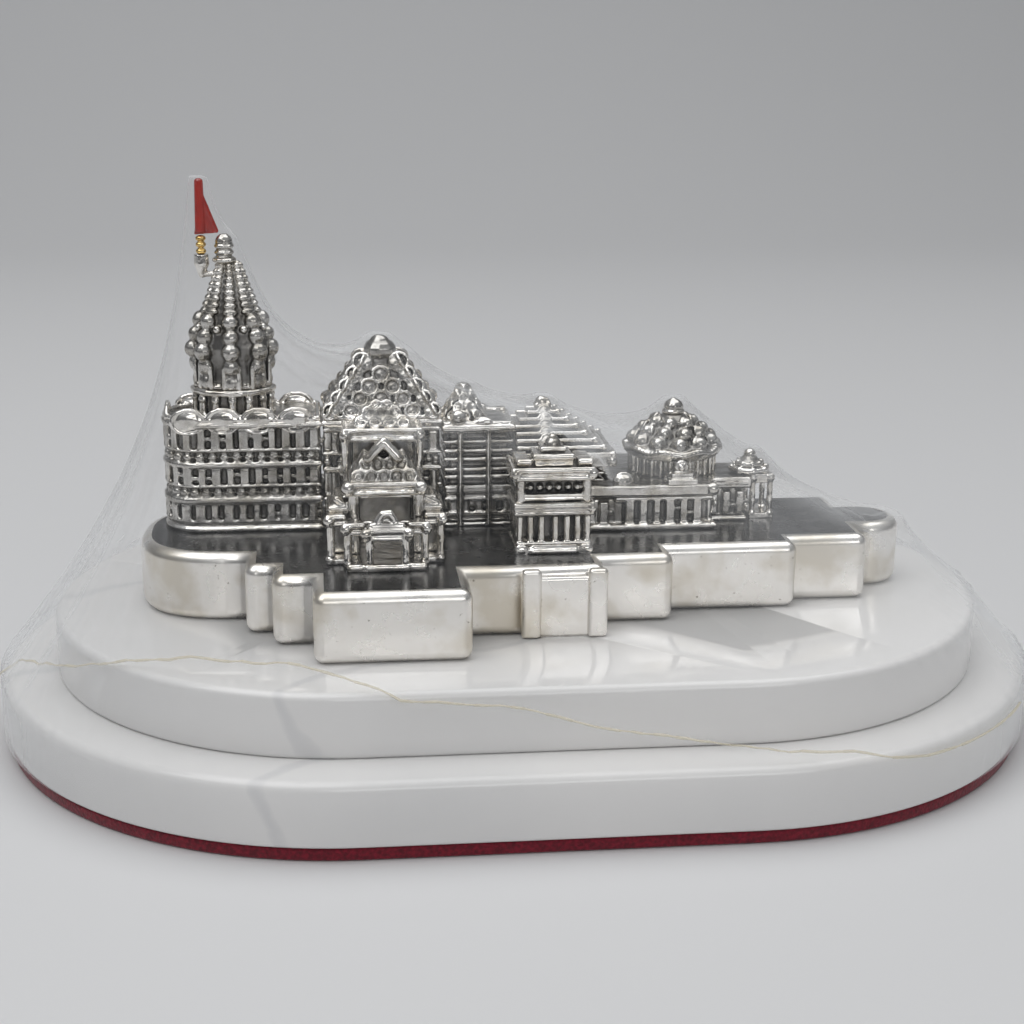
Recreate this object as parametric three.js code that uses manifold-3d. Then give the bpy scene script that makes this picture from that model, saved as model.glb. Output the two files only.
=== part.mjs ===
// Miniature temple complex, cast in silver, on a two-tier marble stand with a felt pad,
// wrapped in clear shrink film. Millimetres, +Z up. The origin is the middle of the stand's
// underside, +X runs along the stand from the tower to the low end, and -Y is the front.
import * as THREE from 'three';
import { mergeVertices } from 'three/addons/utils/BufferGeometryUtils.js';
import Module from 'manifold-3d';

const wasm = await Module();
wasm.setup();

// ---- driving dimensions -------------------------------------------------------------------

const STAND = { length: 120, width: 80, felt: 1.4, tier: 7, setback: 6 };
const MARBLE_FOOT = STAND.felt;
const MARBLE_STEP = MARBLE_FOOT + STAND.tier;
const MARBLE_TOP = MARBLE_STEP + STAND.tier;
const PLINTH_HEIGHT = 7.8;
const DECK = MARBLE_TOP + PLINTH_HEIGHT;

// The temple's long axis lies a little behind the plinth's middle.
const AXIS_Y = 3;
const HALL_HALF_DEPTH = 4.7;
const HALL_FRONT = AXIS_Y - HALL_HALF_DEPTH;
const HALL_REAR = AXIS_Y + HALL_HALF_DEPTH;

// Plinth: half depths of its stepped blocks, each with the x where the block starts.
const PLINTH = {
  left: -44, apseEnd: -31.8, apseHalf: 10.4, apsePower: 2.6,
  steps: [
    { x: -31.8, half: 15.1 }, { x: -28.8, half: 19.2 }, { x: -24.5, half: 25.7 },
    { x: -7.8, half: 18.1 }, { x: 7.5, half: 14.7 }, { x: 15.7, half: 11.4 },
    { x: 30.7, half: 9 },
  ],
  noseStart: 39.7, noseCentre: 41.5, noseRadius: 4.3,
};
const STAIR = { left: -2, right: 7.5, rib: 2.2, reach: 19.4, tread: 18.8, drop: 0.9 };

const SCREW = { x: 18, shank: 1.5, head: 3, headHeight: 2.2, washer: 3.8, washerHeight: 0.6 };
const SCREW_HOLE = { shank: 1.8, counterbore: 4.2, depth: 3.2, bite: 5 };

const SANCTUM = { left: -41.4, right: -23.1, apse: 4.5, base: 1.5, top: 36.2, band: 0.8 };
const SANCTUM_BANDS = [27, 31];
const MERLON = { radius: 1.4, thickness: 0.5, xs: [-38.1, -34.2, -30.2, -26] };

const TOWER = { x: -33.1, radius: 5, flat: 0.83, drumTop: 39.6, shaftTop: 53.6, top: 57 };
const FLAG = { x: -36.6, y: 3.2, socketFoot: 52, socketTop: 54.6, poleTop: 56.6, tip: 63.1 };

const GREAT_HALL = { left: SANCTUM.right, right: -9.3, top: 36.2, roofTop: 44, finialTop: 45.3 };
const MIDDLE_HALL = { left: GREAT_HALL.right, right: -0.8, top: 35.4, roofX: -6.5, roofTop: 39.5 };
const RIBBED_HALL = { left: MIDDLE_HALL.right, right: 9.9, eave: 30.4, roofX: 2.7, roofTop: 37.6 };
const LOW_HALL = { left: 7, inner: 10.1, right: 22.5, front: -5, top: 28.6 };
const LINK = { right: 27.2, front: -2, rear: 5.4, top: 28.6 };
const ROTUNDA = { x: 18.6, drum: 5.4, rim: 6, rimFoot: 30.7, rimTop: 32.1, top: 37.3 };
const CANOPY = { left: 27.3, right: 30.4, front: -1, rear: 3.6, eave: 28, top: 31.3 };
const PORCH = { x: -16.4, floor: 0.7, eave: 30.6, roof: 32, storey: 34.8, storeyRoof: 36.3 };
const GATE = { x: 2.3, half: 4.5, front: -13, back: -6.2, ledge: 27.9, eave: 31.7, top: 36.3 };

const FILM = { wall: 0.4, gap: 0.5, lift: 0.9, skirtFoot: 2, cell: 1, sweeps: 2600, spread: [-2, -1, 0, 1, 2],
  around: 64, rings: 14 };

const SILVER = { color: 0xb9b4ab, roughness: 0.25, metalness: 1 };
const MARBLE = { color: 0xe9e8e6, roughness: 0.12, metalness: 0 };
const FELT = { color: 0x8c1224, roughness: 0.95, metalness: 0 };
const GOLD = { color: 0xc79a3c, roughness: 0.3, metalness: 1 };
const RED = { color: 0x9c1f14, roughness: 0.35, metalness: 0 };
const STEEL = { color: 0x8d9094, roughness: 0.4, metalness: 1 };
const CLEAR = { color: 0xdfe3e6, roughness: 0.1, metalness: 0, transparent: true, opacity: 0.25 };

// ---- shapes -------------------------------------------------------------------------------

const assembly = new THREE.Group();

function addPart(name, geometry, finish) {
  const mesh = new THREE.Mesh(geometry, new THREE.MeshStandardMaterial(finish));
  mesh.name = name;
  assembly.add(mesh);
  return mesh;
}

function block(x0, x1, y0, y1, z0, z1) {
  const size = [x1 - x0, y1 - y0, z1 - z0].map(Math.abs);
  return new THREE.BoxGeometry(...size).translate((x0 + x1) / 2, (y0 + y1) / 2, (z0 + z1) / 2);
}

function disc(radius, x, y, z0, z1, sides = 24) {
  const rod = new THREE.CylinderGeometry(radius, radius, z1 - z0, sides);
  return rod.rotateX(Math.PI / 2).translate(x, y, (z0 + z1) / 2);
}

function turned(profile, x, y, sides, flat = 1) {
  const points = profile.map(([radius, z]) => new THREE.Vector2(radius, z));
  const shape = new THREE.LatheGeometry(points, sides);
  return shape.rotateX(Math.PI / 2).scale(1, flat, 1).translate(x, y, 0);
}

function prism(outline, z0, z1) {
  const shape = new THREE.Shape(outline.map(([x, y]) => new THREE.Vector2(x, y)));
  const solid = new THREE.ExtrudeGeometry(shape, { depth: z1 - z0, bevelEnabled: false });
  return solid.translate(0, 0, z0);
}

function toSolid(geometry) {
  const bare = geometry.clone();
  bare.deleteAttribute('normal');
  bare.deleteAttribute('uv');
  const merged = mergeVertices(bare, 1e-4);
  return new wasm.Manifold(new wasm.Mesh({
    numProp: 3,
    vertProperties: new Float32Array(merged.attributes.position.array),
    triVerts: new Uint32Array(merged.index.array),
  }));
}

function toGeometry(solid) {
  const mesh = solid.getMesh();
  const geometry = new THREE.BufferGeometry();
  geometry.setAttribute('position', new THREE.BufferAttribute(mesh.vertProperties, 3));
  geometry.setIndex(new THREE.BufferAttribute(mesh.triVerts, 1));
  geometry.computeVertexNormals();
  return geometry;
}

function join(...pieces) {
  return toGeometry(pieces.map(toSolid).reduce((sum, piece) => sum.add(piece)));
}

function cut(body, ...tools) {
  return toGeometry(tools.map(toSolid).reduce((rest, tool) => rest.subtract(tool), toSolid(body)));
}

function stadium(length, width, sidesPerEnd = 28) {
  const radius = width / 2;
  const straight = length / 2 - radius;
  const end = (centre, start) => Array.from({ length: sidesPerEnd + 1 }, (_, i) => {
    const angle = start + (Math.PI * i) / sidesPerEnd;
    return [centre + radius * Math.cos(angle), radius * Math.sin(angle)];
  });
  return [...end(straight, -Math.PI / 2), ...end(-straight, Math.PI / 2)];
}

// A block with a square end at the right and a half-round end at the left.
function apseOutline(left, right, apse, half, middle, steps = 12) {
  const arc = Array.from({ length: steps + 1 }, (_, i) => {
    const angle = Math.PI / 2 + (Math.PI * i) / steps;
    return [left + apse + apse * Math.cos(angle), middle + half * Math.sin(angle)];
  });
  return [[right, middle - half], [right, middle + half], ...arc];
}

// Boxes piled on each other, each smaller than the one below, as a stepped pyramid.
function steppedRoof({ x, y = AXIS_Y, z0, z1, halfX, halfY, tipX, tipY, tiers }) {
  const rise = (z1 - z0) / tiers;
  return join(...Array.from({ length: tiers }, (_, i) => {
    const shrink = i / (tiers - 1);
    const hx = halfX + (tipX - halfX) * shrink;
    const hy = halfY + (tipY - halfY) * shrink;
    const foot = z0 + rise * i - (i ? rise / 2 : 0);
    return block(x - hx, x + hx, y - hy, y + hy, foot, z0 + rise * (i + 1));
  }));
}

// ---- stand --------------------------------------------------------------------------------

function buildStand() {
  const upperLength = STAND.length - 2 * STAND.setback;
  const upperWidth = STAND.width - 2 * STAND.setback;
  const boreTop = MARBLE_FOOT + SCREW_HOLE.depth;
  const holes = (z0, z1, radius) => [-SCREW.x, SCREW.x].map((x) => disc(radius, x, 0, z0, z1));

  addPart('felt_pad', prism(stadium(STAND.length - 0.6, STAND.width - 0.6), 0, MARBLE_FOOT), FELT);
  addPart('marble_lower_tier', cut(
    prism(stadium(STAND.length, STAND.width), MARBLE_FOOT, MARBLE_STEP),
    ...holes(MARBLE_FOOT - 1, boreTop, SCREW_HOLE.counterbore),
    ...holes(MARBLE_FOOT - 1, MARBLE_STEP + 1, SCREW_HOLE.shank),
  ), MARBLE);
  addPart('marble_upper_tier', cut(
    prism(stadium(upperLength, upperWidth), MARBLE_STEP, MARBLE_TOP),
    ...holes(MARBLE_STEP - 1, MARBLE_TOP + 1, SCREW_HOLE.shank),
  ), MARBLE);

  ['left', 'right'].forEach((side, i) => {
    const x = i ? SCREW.x : -SCREW.x;
    const seat = boreTop - SCREW.washerHeight;
    const ring = turned([
      [SCREW_HOLE.shank, seat], [SCREW.washer, seat], [SCREW.washer, boreTop],
      [SCREW_HOLE.shank, boreTop], [SCREW_HOLE.shank, seat],
    ], x, 0, 24);
    const tip = MARBLE_TOP + SCREW_HOLE.bite - 0.4;
    addPart(`fixing_washer_${side}`, ring, STEEL);
    addPart(`fixing_screw_${side}`, join(
      disc(SCREW.head, x, 0, seat - SCREW.headHeight, seat),
      disc(SCREW.shank, x, 0, seat - 1, tip),
    ), STEEL);
  });
}

function plinthOutline() {
  const { left, apseEnd, apseHalf, apsePower, steps, noseStart, noseCentre, noseRadius } = PLINTH;
  const front = [];
  for (let i = 0; i <= 10; i += 1) {
    const angle = (Math.PI / 2) * (i / 10);
    const reach = (apseEnd - left) * Math.cos(angle) ** (2 / apsePower);
    front.push([apseEnd - reach, -apseHalf * Math.sin(angle) ** (2 / apsePower)]);
  }
  steps.forEach(({ x, half }, i) => {
    const end = i + 1 < steps.length ? steps[i + 1].x : noseStart;
    front.push([x, -half], [end, -half]);
  });
  front.push([noseStart, -noseRadius]);
  for (let i = 0; i <= 8; i += 1) {
    const angle = -Math.PI / 2 + (Math.PI / 2) * (i / 8);
    front.push([noseCentre + noseRadius * Math.cos(angle), noseRadius * Math.sin(angle)]);
  }
  const rear = front.slice(1, -1).reverse().map(([x, y]) => [x, -y]);
  return [...front, ...rear];
}

function buildPlinth() {
  const holes = [-SCREW.x, SCREW.x].map((x) => (
    disc(SCREW_HOLE.shank, x, 0, MARBLE_TOP - 1, MARBLE_TOP + SCREW_HOLE.bite)
  ));
  addPart('plinth', cut(prism(plinthOutline(), MARBLE_TOP, DECK), ...holes), SILVER);

  const wall = PLINTH.steps[3].half;
  ['front', 'rear'].forEach((side) => {
    const sign = side === 'front' ? -1 : 1;
    const rib = (x0) => block(x0, x0 + STAIR.rib, sign * wall, sign * STAIR.reach, MARBLE_TOP, DECK);
    addPart(`stair_${side}`, join(
      rib(STAIR.left),
      rib(STAIR.right - STAIR.rib),
      block(STAIR.left + 1, STAIR.right - 1, sign * wall, sign * STAIR.tread, MARBLE_TOP,
        DECK - STAIR.drop),
    ), SILVER);
  });
}

// ---- sanctum and tower --------------------------------------------------------------------

function buildSanctum() {
  const ring = (inset, z0, z1) => prism(apseOutline(SANCTUM.left + inset, SANCTUM.right,
    SANCTUM.apse - inset, HALL_HALF_DEPTH - inset, AXIS_Y), z0, z1);
  const recess = 0.5;
  addPart('sanctum_wall', join(
    ring(recess, DECK, SANCTUM.top),
    ring(0, DECK, DECK + SANCTUM.base),
    ring(0, SANCTUM.top - SANCTUM.band, SANCTUM.top),
    ...SANCTUM_BANDS.map((z) => ring(0, z - SANCTUM.band / 2, z + SANCTUM.band / 2)),
  ), SILVER);

  const lip = SANCTUM.top + 0.4;
  const merlons = MERLON.xs.flatMap((x) => [HALL_FRONT, HALL_REAR - MERLON.thickness].map((y) => (
    new THREE.CylinderGeometry(MERLON.radius, MERLON.radius, MERLON.thickness, 12)
      .translate(x, y + MERLON.thickness / 2, lip)
  )));
  const frame = cut(ring(0, SANCTUM.top, lip), ring(MERLON.thickness, SANCTUM.top - 1, lip + 1));
  const belowRoof = block(-60, 0, -20, 20, 30, SANCTUM.top);
  addPart('sanctum_parapet', cut(join(frame, ...merlons), belowRoof), SILVER);
}

function buildTower() {
  const { x, radius, flat, drumTop, shaftTop, top } = TOWER;
  const sides = 24;
  addPart('tower_drum', turned([
    [0, SANCTUM.top], [radius - 0.5, SANCTUM.top], [radius - 0.5, drumTop - 0.7],
    [radius, drumTop - 0.7], [radius, drumTop], [0, drumTop],
  ], x, AXIS_Y, sides, flat), SILVER);
  const shaft = turned([
    [0, drumTop], [radius - 0.6, drumTop], [radius - 0.5, 42.6], [radius, 43.6], [4.3, 46],
    [3.7, 48.2], [2.6, 51.4], [1.5, shaftTop], [0, shaftTop],
  ], x, AXIS_Y, sides, flat);
  addPart('tower_shaft', shaft, SILVER);
  addPart('tower_finial', turned([
    [0, shaftTop], [1.4, shaftTop], [1.6, 54.2], [1, 54.9], [1.1, 55.9], [0.6, 56.8], [0, top],
  ], x - 0.5, AXIS_Y, 16), SILVER);
  return shaft;
}

// The flag stands in a socket on a short arm from the tower's shaft.
function buildFlag(shaft) {
  const { x, y, socketFoot, socketTop, poleTop, tip } = FLAG;
  const bore = 0.45;
  const boreFoot = socketFoot + 0.6;
  const socket = turned([
    [0, socketFoot], [0.5, socketFoot], [0.8, boreFoot], [0.8, socketTop], [bore, socketTop],
    [bore, boreFoot], [0, boreFoot],
  ], x, y, 14);
  const arm = block(x + bore, TOWER.x, y - 0.4, y + 0.4, socketFoot, boreFoot);
  addPart('flag_socket', cut(join(socket, arm), shaft), SILVER);
  addPart('flag_pole', turned([
    [0, socketFoot + 0.9], [0.35, socketFoot + 0.9], [0.35, poleTop], [0, poleTop],
  ], x, y, 12), GOLD);
  addPart('flag_pennant', turned([
    [0, poleTop], [1, poleTop], [0.9, poleTop + 0.6], [0.4, tip - 0.3], [0, tip],
  ], x, y, 10, 0.6), RED);
}

// ---- halls --------------------------------------------------------------------------------

function buildGreatHall() {
  const { left, right, top, roofTop, finialTop } = GREAT_HALL;
  const middle = (left + right) / 2;
  addPart('great_hall_wall', block(left, right, HALL_FRONT, HALL_REAR, DECK, top), SILVER);
  addPart('great_hall_roof', steppedRoof({
    x: middle, z0: top, z1: roofTop, halfX: 6.7, halfY: HALL_HALF_DEPTH, tipX: 1, tipY: 0.9, tiers: 8,
  }), SILVER);
  addPart('great_hall_finial', turned([
    [0, roofTop], [0.7, roofTop], [0.8, roofTop + 0.6], [0.4, finialTop - 0.2], [0, finialTop],
  ], middle, AXIS_Y, 14), SILVER);
}

function buildMiddleHall() {
  const { left, right, top, roofX, roofTop } = MIDDLE_HALL;
  addPart('middle_hall_wall', block(left, right, HALL_FRONT, HALL_REAR, DECK, top), SILVER);
  addPart('middle_hall_roof', steppedRoof({
    x: roofX, z0: top, z1: roofTop, halfX: 2.7, halfY: 3.2, tipX: 0.7, tipY: 0.7, tiers: 5,
  }), SILVER);
}

function buildRibbedHall() {
  const { left, right, eave, roofX, roofTop } = RIBBED_HALL;
  const slabTop = eave + 1.4;
  addPart('ribbed_hall_wall', block(left, right, HALL_FRONT, HALL_REAR, DECK, eave), SILVER);
  const roof = join(
    block(roofX - 8.2, roofX + 8.2, AXIS_Y - 6, AXIS_Y + 6, eave, slabTop),
    steppedRoof({
      x: roofX, z0: slabTop - 0.2, z1: roofTop, halfX: 7.4, halfY: 5.4, tipX: 0.7, tipY: 0.6,
      tiers: 8,
    }),
  );
  addPart('ribbed_hall_roof', cut(roof, block(-30, left, -20, 30, 20, 50)), SILVER);
}

function buildLowHall() {
  const { left, inner, right, front, top } = LOW_HALL;
  const rear = 2 * AXIS_Y - front;
  const corner = (y0, y1, z0, z1) => block(left, inner + 1, y0, y1, z0, z1);
  const eave = top - 1.3;
  addPart('low_hall_wall', join(
    block(inner, right - 0.5, front + 0.5, rear - 0.5, DECK, eave),
    corner(front + 0.5, HALL_FRONT - 0.1, DECK, eave),
    corner(HALL_REAR + 0.1, rear - 0.5, DECK, eave),
    block(left, right, front, front + 1, DECK, DECK + 0.8),
    block(left, right, rear - 1, rear, DECK, DECK + 0.8),
  ), SILVER);
  addPart('low_hall_roof', join(
    block(inner, right, front, rear, eave, top),
    corner(front, HALL_FRONT - 0.1, eave, top),
    corner(HALL_REAR + 0.1, rear, eave, top),
  ), SILVER);

  [['front', front + 1.25], ['rear', rear - 1.25]].forEach(([side, y]) => {
    addPart(`small_dome_${side}`, turned([
      [0, top], [1.9, top], [1.9, top + 0.7], [1.3, top + 0.8], [1.3, top + 1.5],
      [0.6, top + 1.6], [0.7, top + 2.4], [0, top + 2.8],
    ], 18.4, y, 16, 0.7), SILVER);
    addPart(`low_dome_${side}`, turned([
      [0, top], [1.4, top], [1.2, top + 0.7], [0.7, top + 1.1], [0, top + 1.3],
    ], 11.6, y, 16, 0.8), SILVER);
  });
}

function buildRotunda() {
  const { x, drum, rim, rimFoot, rimTop, top } = ROTUNDA;
  addPart('rotunda_drum', disc(drum, x, AXIS_Y, LOW_HALL.top, rimFoot, 20), SILVER);
  addPart('rotunda_roof', turned([
    [0, rimFoot], [rim - 0.3, rimFoot], [rim, rimTop - 0.5], [rim - 0.4, rimTop], [4.2, 33.1],
    [2.4, 34.6], [1.3, 35.4], [0, 35.4],
  ], x, AXIS_Y, 24), SILVER);
  addPart('rotunda_finial', turned([
    [0, 35.4], [1.1, 35.4], [1.3, 36.1], [0.9, 36.9], [0, top],
  ], x, AXIS_Y, 16), SILVER);
}

function buildLink() {
  const { right, front, rear, top } = LINK;
  const left = LOW_HALL.right;
  addPart('link_wall', block(left, right - 0.3, front + 0.3, rear - 0.3, DECK, top - 1.4), SILVER);
  addPart('link_roof', block(left, right, front, rear, top - 1.4, top), SILVER);
}

function buildCanopy() {
  const { left, right, front, rear, eave, top } = CANOPY;
  const post = (x, y) => block(x - 0.35, x + 0.35, y - 0.35, y + 0.35, DECK + 0.3, eave + 0.3);
  const inset = 0.6;
  const corners = [left + inset, right - inset].flatMap((x) => (
    [front + inset, rear - inset].map((y) => post(x, y))
  ));
  addPart('canopy_posts', join(
    block(left + 0.1, right - 0.1, front + 0.1, rear - 0.1, DECK, DECK + 0.6),
    block(left, right, front, rear, eave, LINK.top),
    ...corners,
  ), SILVER);
  addPart('canopy_roof', turned([
    [0, LINK.top], [2.4, LINK.top], [2.4, LINK.top + 0.6], [1.4, LINK.top + 1.1],
    [1.2, LINK.top + 1.8], [0, top],
  ], 27.7, (front + rear) / 2, 16), SILVER);
}

// ---- side entrances -----------------------------------------------------------------------

// Turns a front y into the same place at the rear, mirrored about the temple's axis.
const onSide = (side) => (y) => (side === 'front' ? y : 2 * AXIS_Y - y);

function buildPorch(side) {
  const y = onSide(side);
  const slab = (x0, x1, y0, y1, z0, z1) => block(PORCH.x + x0, PORCH.x + x1, y(y0), y(y1), z0, z1);
  const floorTop = DECK + PORCH.floor;
  const wall = HALL_FRONT - 0.05;

  addPart(`porch_${side}_floor`, join(
    slab(-6.5, 6.3, -15.6, wall, DECK, floorTop),
    slab(-4.3, 4.2, -18.4, -15, DECK, floorTop),
  ), SILVER);
  const aisles = [[-6.3, -3.8], [4, 6.1]].flatMap(([x0, x1]) => [
    slab(x0, x1, -13.3, -8, floorTop, 29),
    slab(x0 + 0.4, x1 - 0.4, -13, -8.5, 28.8, 30.4),
  ]);
  addPart(`porch_${side}_hall`, cut(
    join(slab(-3.9, 4.1, -13.4, wall, floorTop, PORCH.eave), ...aisles),
    slab(-2.9, 3.1, -14, -9.5, floorTop + 0.01, PORCH.eave - 0.5),
  ), SILVER);

  const column = (x, yy, head) => slab(x - 0.4, x + 0.4, yy - 0.4, yy + 0.4, floorTop, head);
  const portico = [
    ...[-6, 5.9].map((x) => column(x, -15, 28)),
    ...[-4.2, 4.1].map((x) => column(x, -16.5, 28)),
    ...[-2, 2].map((x) => column(x, -17.8, 27.5)),
    ...[[-6.5, -3.6], [3.5, 6.4]].map(([x0, x1]) => slab(x0, x1, -17, -13.6, 27.4, 28.5)),
    slab(-2.5, 2.6, -18.3, -15.2, 26.8, 28),
    slab(-3.8, 3.7, -16.4, -15.6, 27.4, 28.4),
    slab(-1.1, 1.1, -18, -17, 27.8, 30),
  ];
  addPart(`porch_${side}_portico`, join(...portico), SILVER);
  addPart(`porch_${side}_roof`, join(
    slab(-4.5, 4.3, -14.4, -7, PORCH.eave, PORCH.roof),
    slab(-3.6, 3.4, -13.4, -7.6, PORCH.roof - 0.2, 33.1),
    slab(-2.6, 2.4, -12.6, -8.2, 33, 34.3),
    slab(-1.2, 1, -11.8, -9.4, 34.2, 36),
  ), SILVER);
  addPart(`porch_${side}_upper_storey`, join(
    slab(-4, 4.2, -6.2, wall, PORCH.eave, PORCH.storey + 0.2),
    slab(-4.4, 4.5, -6.8, wall, PORCH.storey, PORCH.storeyRoof),
  ), SILVER);
  addPart(`porch_${side}_upper_roof`, join(
    slab(-2.9, 3, -6, -2.8, PORCH.storeyRoof, 37.6),
    slab(-1.7, 1.8, -5.3, -3.3, 37.4, 38.9),
  ), SILVER);
}

function buildGate(side, storeys) {
  const y = onSide(side);
  const { x, half, front, back, ledge, eave, top } = GATE;
  const slab = (x0, x1, y0, y1, z0, z1) => block(x + x0, x + x1, y(y0), y(y1), z0, z1);
  const wall = HALL_FRONT - 0.05;
  const floorTop = DECK + 0.9;
  addPart(`gate_${side}_floor`, slab(-half, half, front - 0.3, back, DECK, floorTop), SILVER);

  const posts = [-3.8, -1.6, 1.4, 3.8].map((dx) => (
    slab(dx - 0.4, dx + 0.4, front, front + 0.8, floorTop, ledge)
  ));
  addPart(`gate_${side}_lower_storey`, join(
    slab(-half + 0.6, half - 0.6, front + 1.4, back, floorTop, ledge),
    ...posts,
    slab(-half, half, front - 0.1, back, ledge - 0.3, ledge + 1),
  ), SILVER);
  addPart(`gate_${side}_passage`, slab(-half + 1, half - 1, back, wall - 3.3, DECK, ledge), SILVER);
  if (storeys < 2) return;
  addPart(`gate_${side}_upper_storey`, join(
    slab(-half + 0.5, half - 0.5, front + 0.5, back, ledge + 1, eave + 0.2),
    slab(-half - 0.3, half + 0.1, front - 0.3, back, eave, eave + 1.3),
  ), SILVER);
  const roofFoot = eave + 1.3;
  addPart(`gate_${side}_roof`, join(
    slab(-2.3, 2.4, -11.8, -7.2, roofFoot, roofFoot + 1.3),
    slab(-1.6, 1.7, -11, -8, roofFoot + 1.2, roofFoot + 2.2),
    slab(-0.7, 0.7, -10.2, -8.8, roofFoot + 2.1, top),
  ), SILVER);
}

// ---- shrink film --------------------------------------------------------------------------

// Heights of everything under the film on a square grid, from points spread over each triangle.
function obstacleMap(meshes, columns, rows, cell) {
  const heights = new Float32Array(columns * rows).fill(MARBLE_STEP);
  const raise = ({ x, y, z }) => {
    const centre = Math.round(y / cell + rows / 2) * columns + Math.round(x / cell + columns / 2);
    FILM.spread.forEach((row) => FILM.spread.forEach((column) => {
      const i = centre + row * columns + column;
      heights[i] = Math.max(heights[i], z);
    }));
  };
  meshes.forEach(({ geometry }) => {
    const { position } = (geometry.index ? geometry.toNonIndexed() : geometry).attributes;
    for (let i = 0; i < position.count; i += 3) {
      const [a, b, c] = [0, 1, 2].map((k) => new THREE.Vector3().fromBufferAttribute(position, i + k));
      const longest = Math.max(a.distanceTo(b), b.distanceTo(c), c.distanceTo(a));
      const parts = Math.ceil(longest / cell);
      for (let u = 0; u <= parts; u += 1) {
        const left = a.clone().lerp(b, u / parts);
        const right = a.clone().lerp(c, u / parts);
        for (let v = 0; v <= u; v += 1) raise(left.clone().lerp(right, u ? v / u : 0));
      }
    }
  });
  return heights;
}

// A taut skin over the obstacles: every free point settles at the mean of its neighbours.
function settleFilm(meshes) {
  const { cell, lift, sweeps } = FILM;
  const columns = STAND.length / cell + 9;
  const rows = STAND.width / cell + 9;
  const floor = obstacleMap(meshes, columns, rows, cell).map((z) => z + lift);
  const skin = Float32Array.from(floor);
  const radius = STAND.width / 2;
  const inside = (c, r) => {
    const x = Math.abs((c - columns / 2) * cell) - (STAND.length / 2 - radius);
    return Math.hypot(Math.max(x, 0), (r - rows / 2) * cell) < radius;
  };
  for (let sweep = 0; sweep < sweeps; sweep += 1) {
    for (let r = 1; r < rows - 1; r += 1) {
      for (let c = 1; c < columns - 1; c += 1) {
        const i = r * columns + c;
        if (inside(c, r)) {
          const mean = (skin[i - 1] + skin[i + 1] + skin[i - columns] + skin[i + columns]) / 4;
          skin[i] = Math.max(floor[i], skin[i] + 1.6 * (mean - skin[i]));
        } else skin[i] = floor[i];
      }
    }
  }
  return (x, y) => {
    const u = Math.min(Math.max(x / cell + columns / 2, 0), columns - 1.001);
    const v = Math.min(Math.max(y / cell + rows / 2, 0), rows - 1.001);
    const c = Math.floor(u);
    const r = Math.floor(v);
    const at = (dc, dr) => skin[(r + dr) * columns + c + dc];
    const low = at(0, 0) + (at(1, 0) - at(0, 0)) * (u - c);
    const high = at(0, 1) + (at(1, 1) - at(0, 1)) * (u - c);
    return low + (high - low) * (v - r);
  };
}

function buildFilm(meshes) {
  const heightAt = settleFilm(meshes);
  const { wall, gap, skirtFoot, around, rings } = FILM;
  const spine = STAND.length / 2 - STAND.width / 2;
  const radius = STAND.width / 2 + gap;
  // Rings run from the stand's spine out to the rim, then down the skirt, and back up inside.
  const ringPoint = (angle, share, offset) => {
    const side = Math.cos(angle);
    const x = THREE.MathUtils.clamp(side * (spine + radius) * 1.4, -spine, spine);
    const reach = (radius + offset) * share;
    const out = new THREE.Vector2(side * (spine + radius) * 1.4 - x, Math.sin(angle) * radius);
    out.setLength(reach);
    return new THREE.Vector2(x + out.x, out.y);
  };
  const shell = [];
  for (let i = 0; i <= rings; i += 1) shell.push({ share: i / rings, lift: wall, offset: wall });
  shell.push({ share: 1, z: skirtFoot, offset: wall }, { share: 1, z: skirtFoot, offset: 0 });
  for (let i = rings; i >= 0; i -= 1) shell.push({ share: i / rings, lift: 0, offset: 0 });

  const positions = [];
  shell.forEach(({ share, lift, offset, z }) => {
    for (let k = 0; k < around; k += 1) {
      const angle = (2 * Math.PI * (k + 0.5)) / around;
      const p = ringPoint(angle, share, offset);
      positions.push(p.x, p.y, z ?? heightAt(p.x, p.y) + lift);
    }
  });
  const index = [];
  for (let i = 0; i + 1 < shell.length; i += 1) {
    for (let k = 0; k < around; k += 1) {
      const next = (k + 1) % around;
      const [a, b, c, d] = [i * around + k, i * around + next, (i + 1) * around + next,
        (i + 1) * around + k];
      index.push(a, c, b, a, d, c);
    }
  }
  const geometry = new THREE.BufferGeometry();
  geometry.setAttribute('position', new THREE.Float32BufferAttribute(positions, 3));
  geometry.setIndex(index);
  return geometry;
}

buildStand();
buildPlinth();
buildSanctum();
buildFlag(buildTower());
buildGreatHall();
buildMiddleHall();
buildRibbedHall();
buildLowHall();
buildRotunda();
buildLink();
buildCanopy();
buildPorch('front');
buildPorch('rear');
buildGate('front', 2);
buildGate('rear', 1);
addPart('film_wrap', buildFilm([...assembly.children]), CLEAR);

export default assembly;
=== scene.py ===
"""Looks of a silver temple miniature on a marble stand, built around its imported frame.

Lengths are in millimetres. Each piece is turned into metres when it is finished.
"""
import logging
import math
import random
from dataclasses import dataclass
from enum import Enum
from typing import Callable, Iterable, Iterator, Sequence

import bmesh
import bpy
import numpy as np
from mathutils import Matrix, Vector


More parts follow.
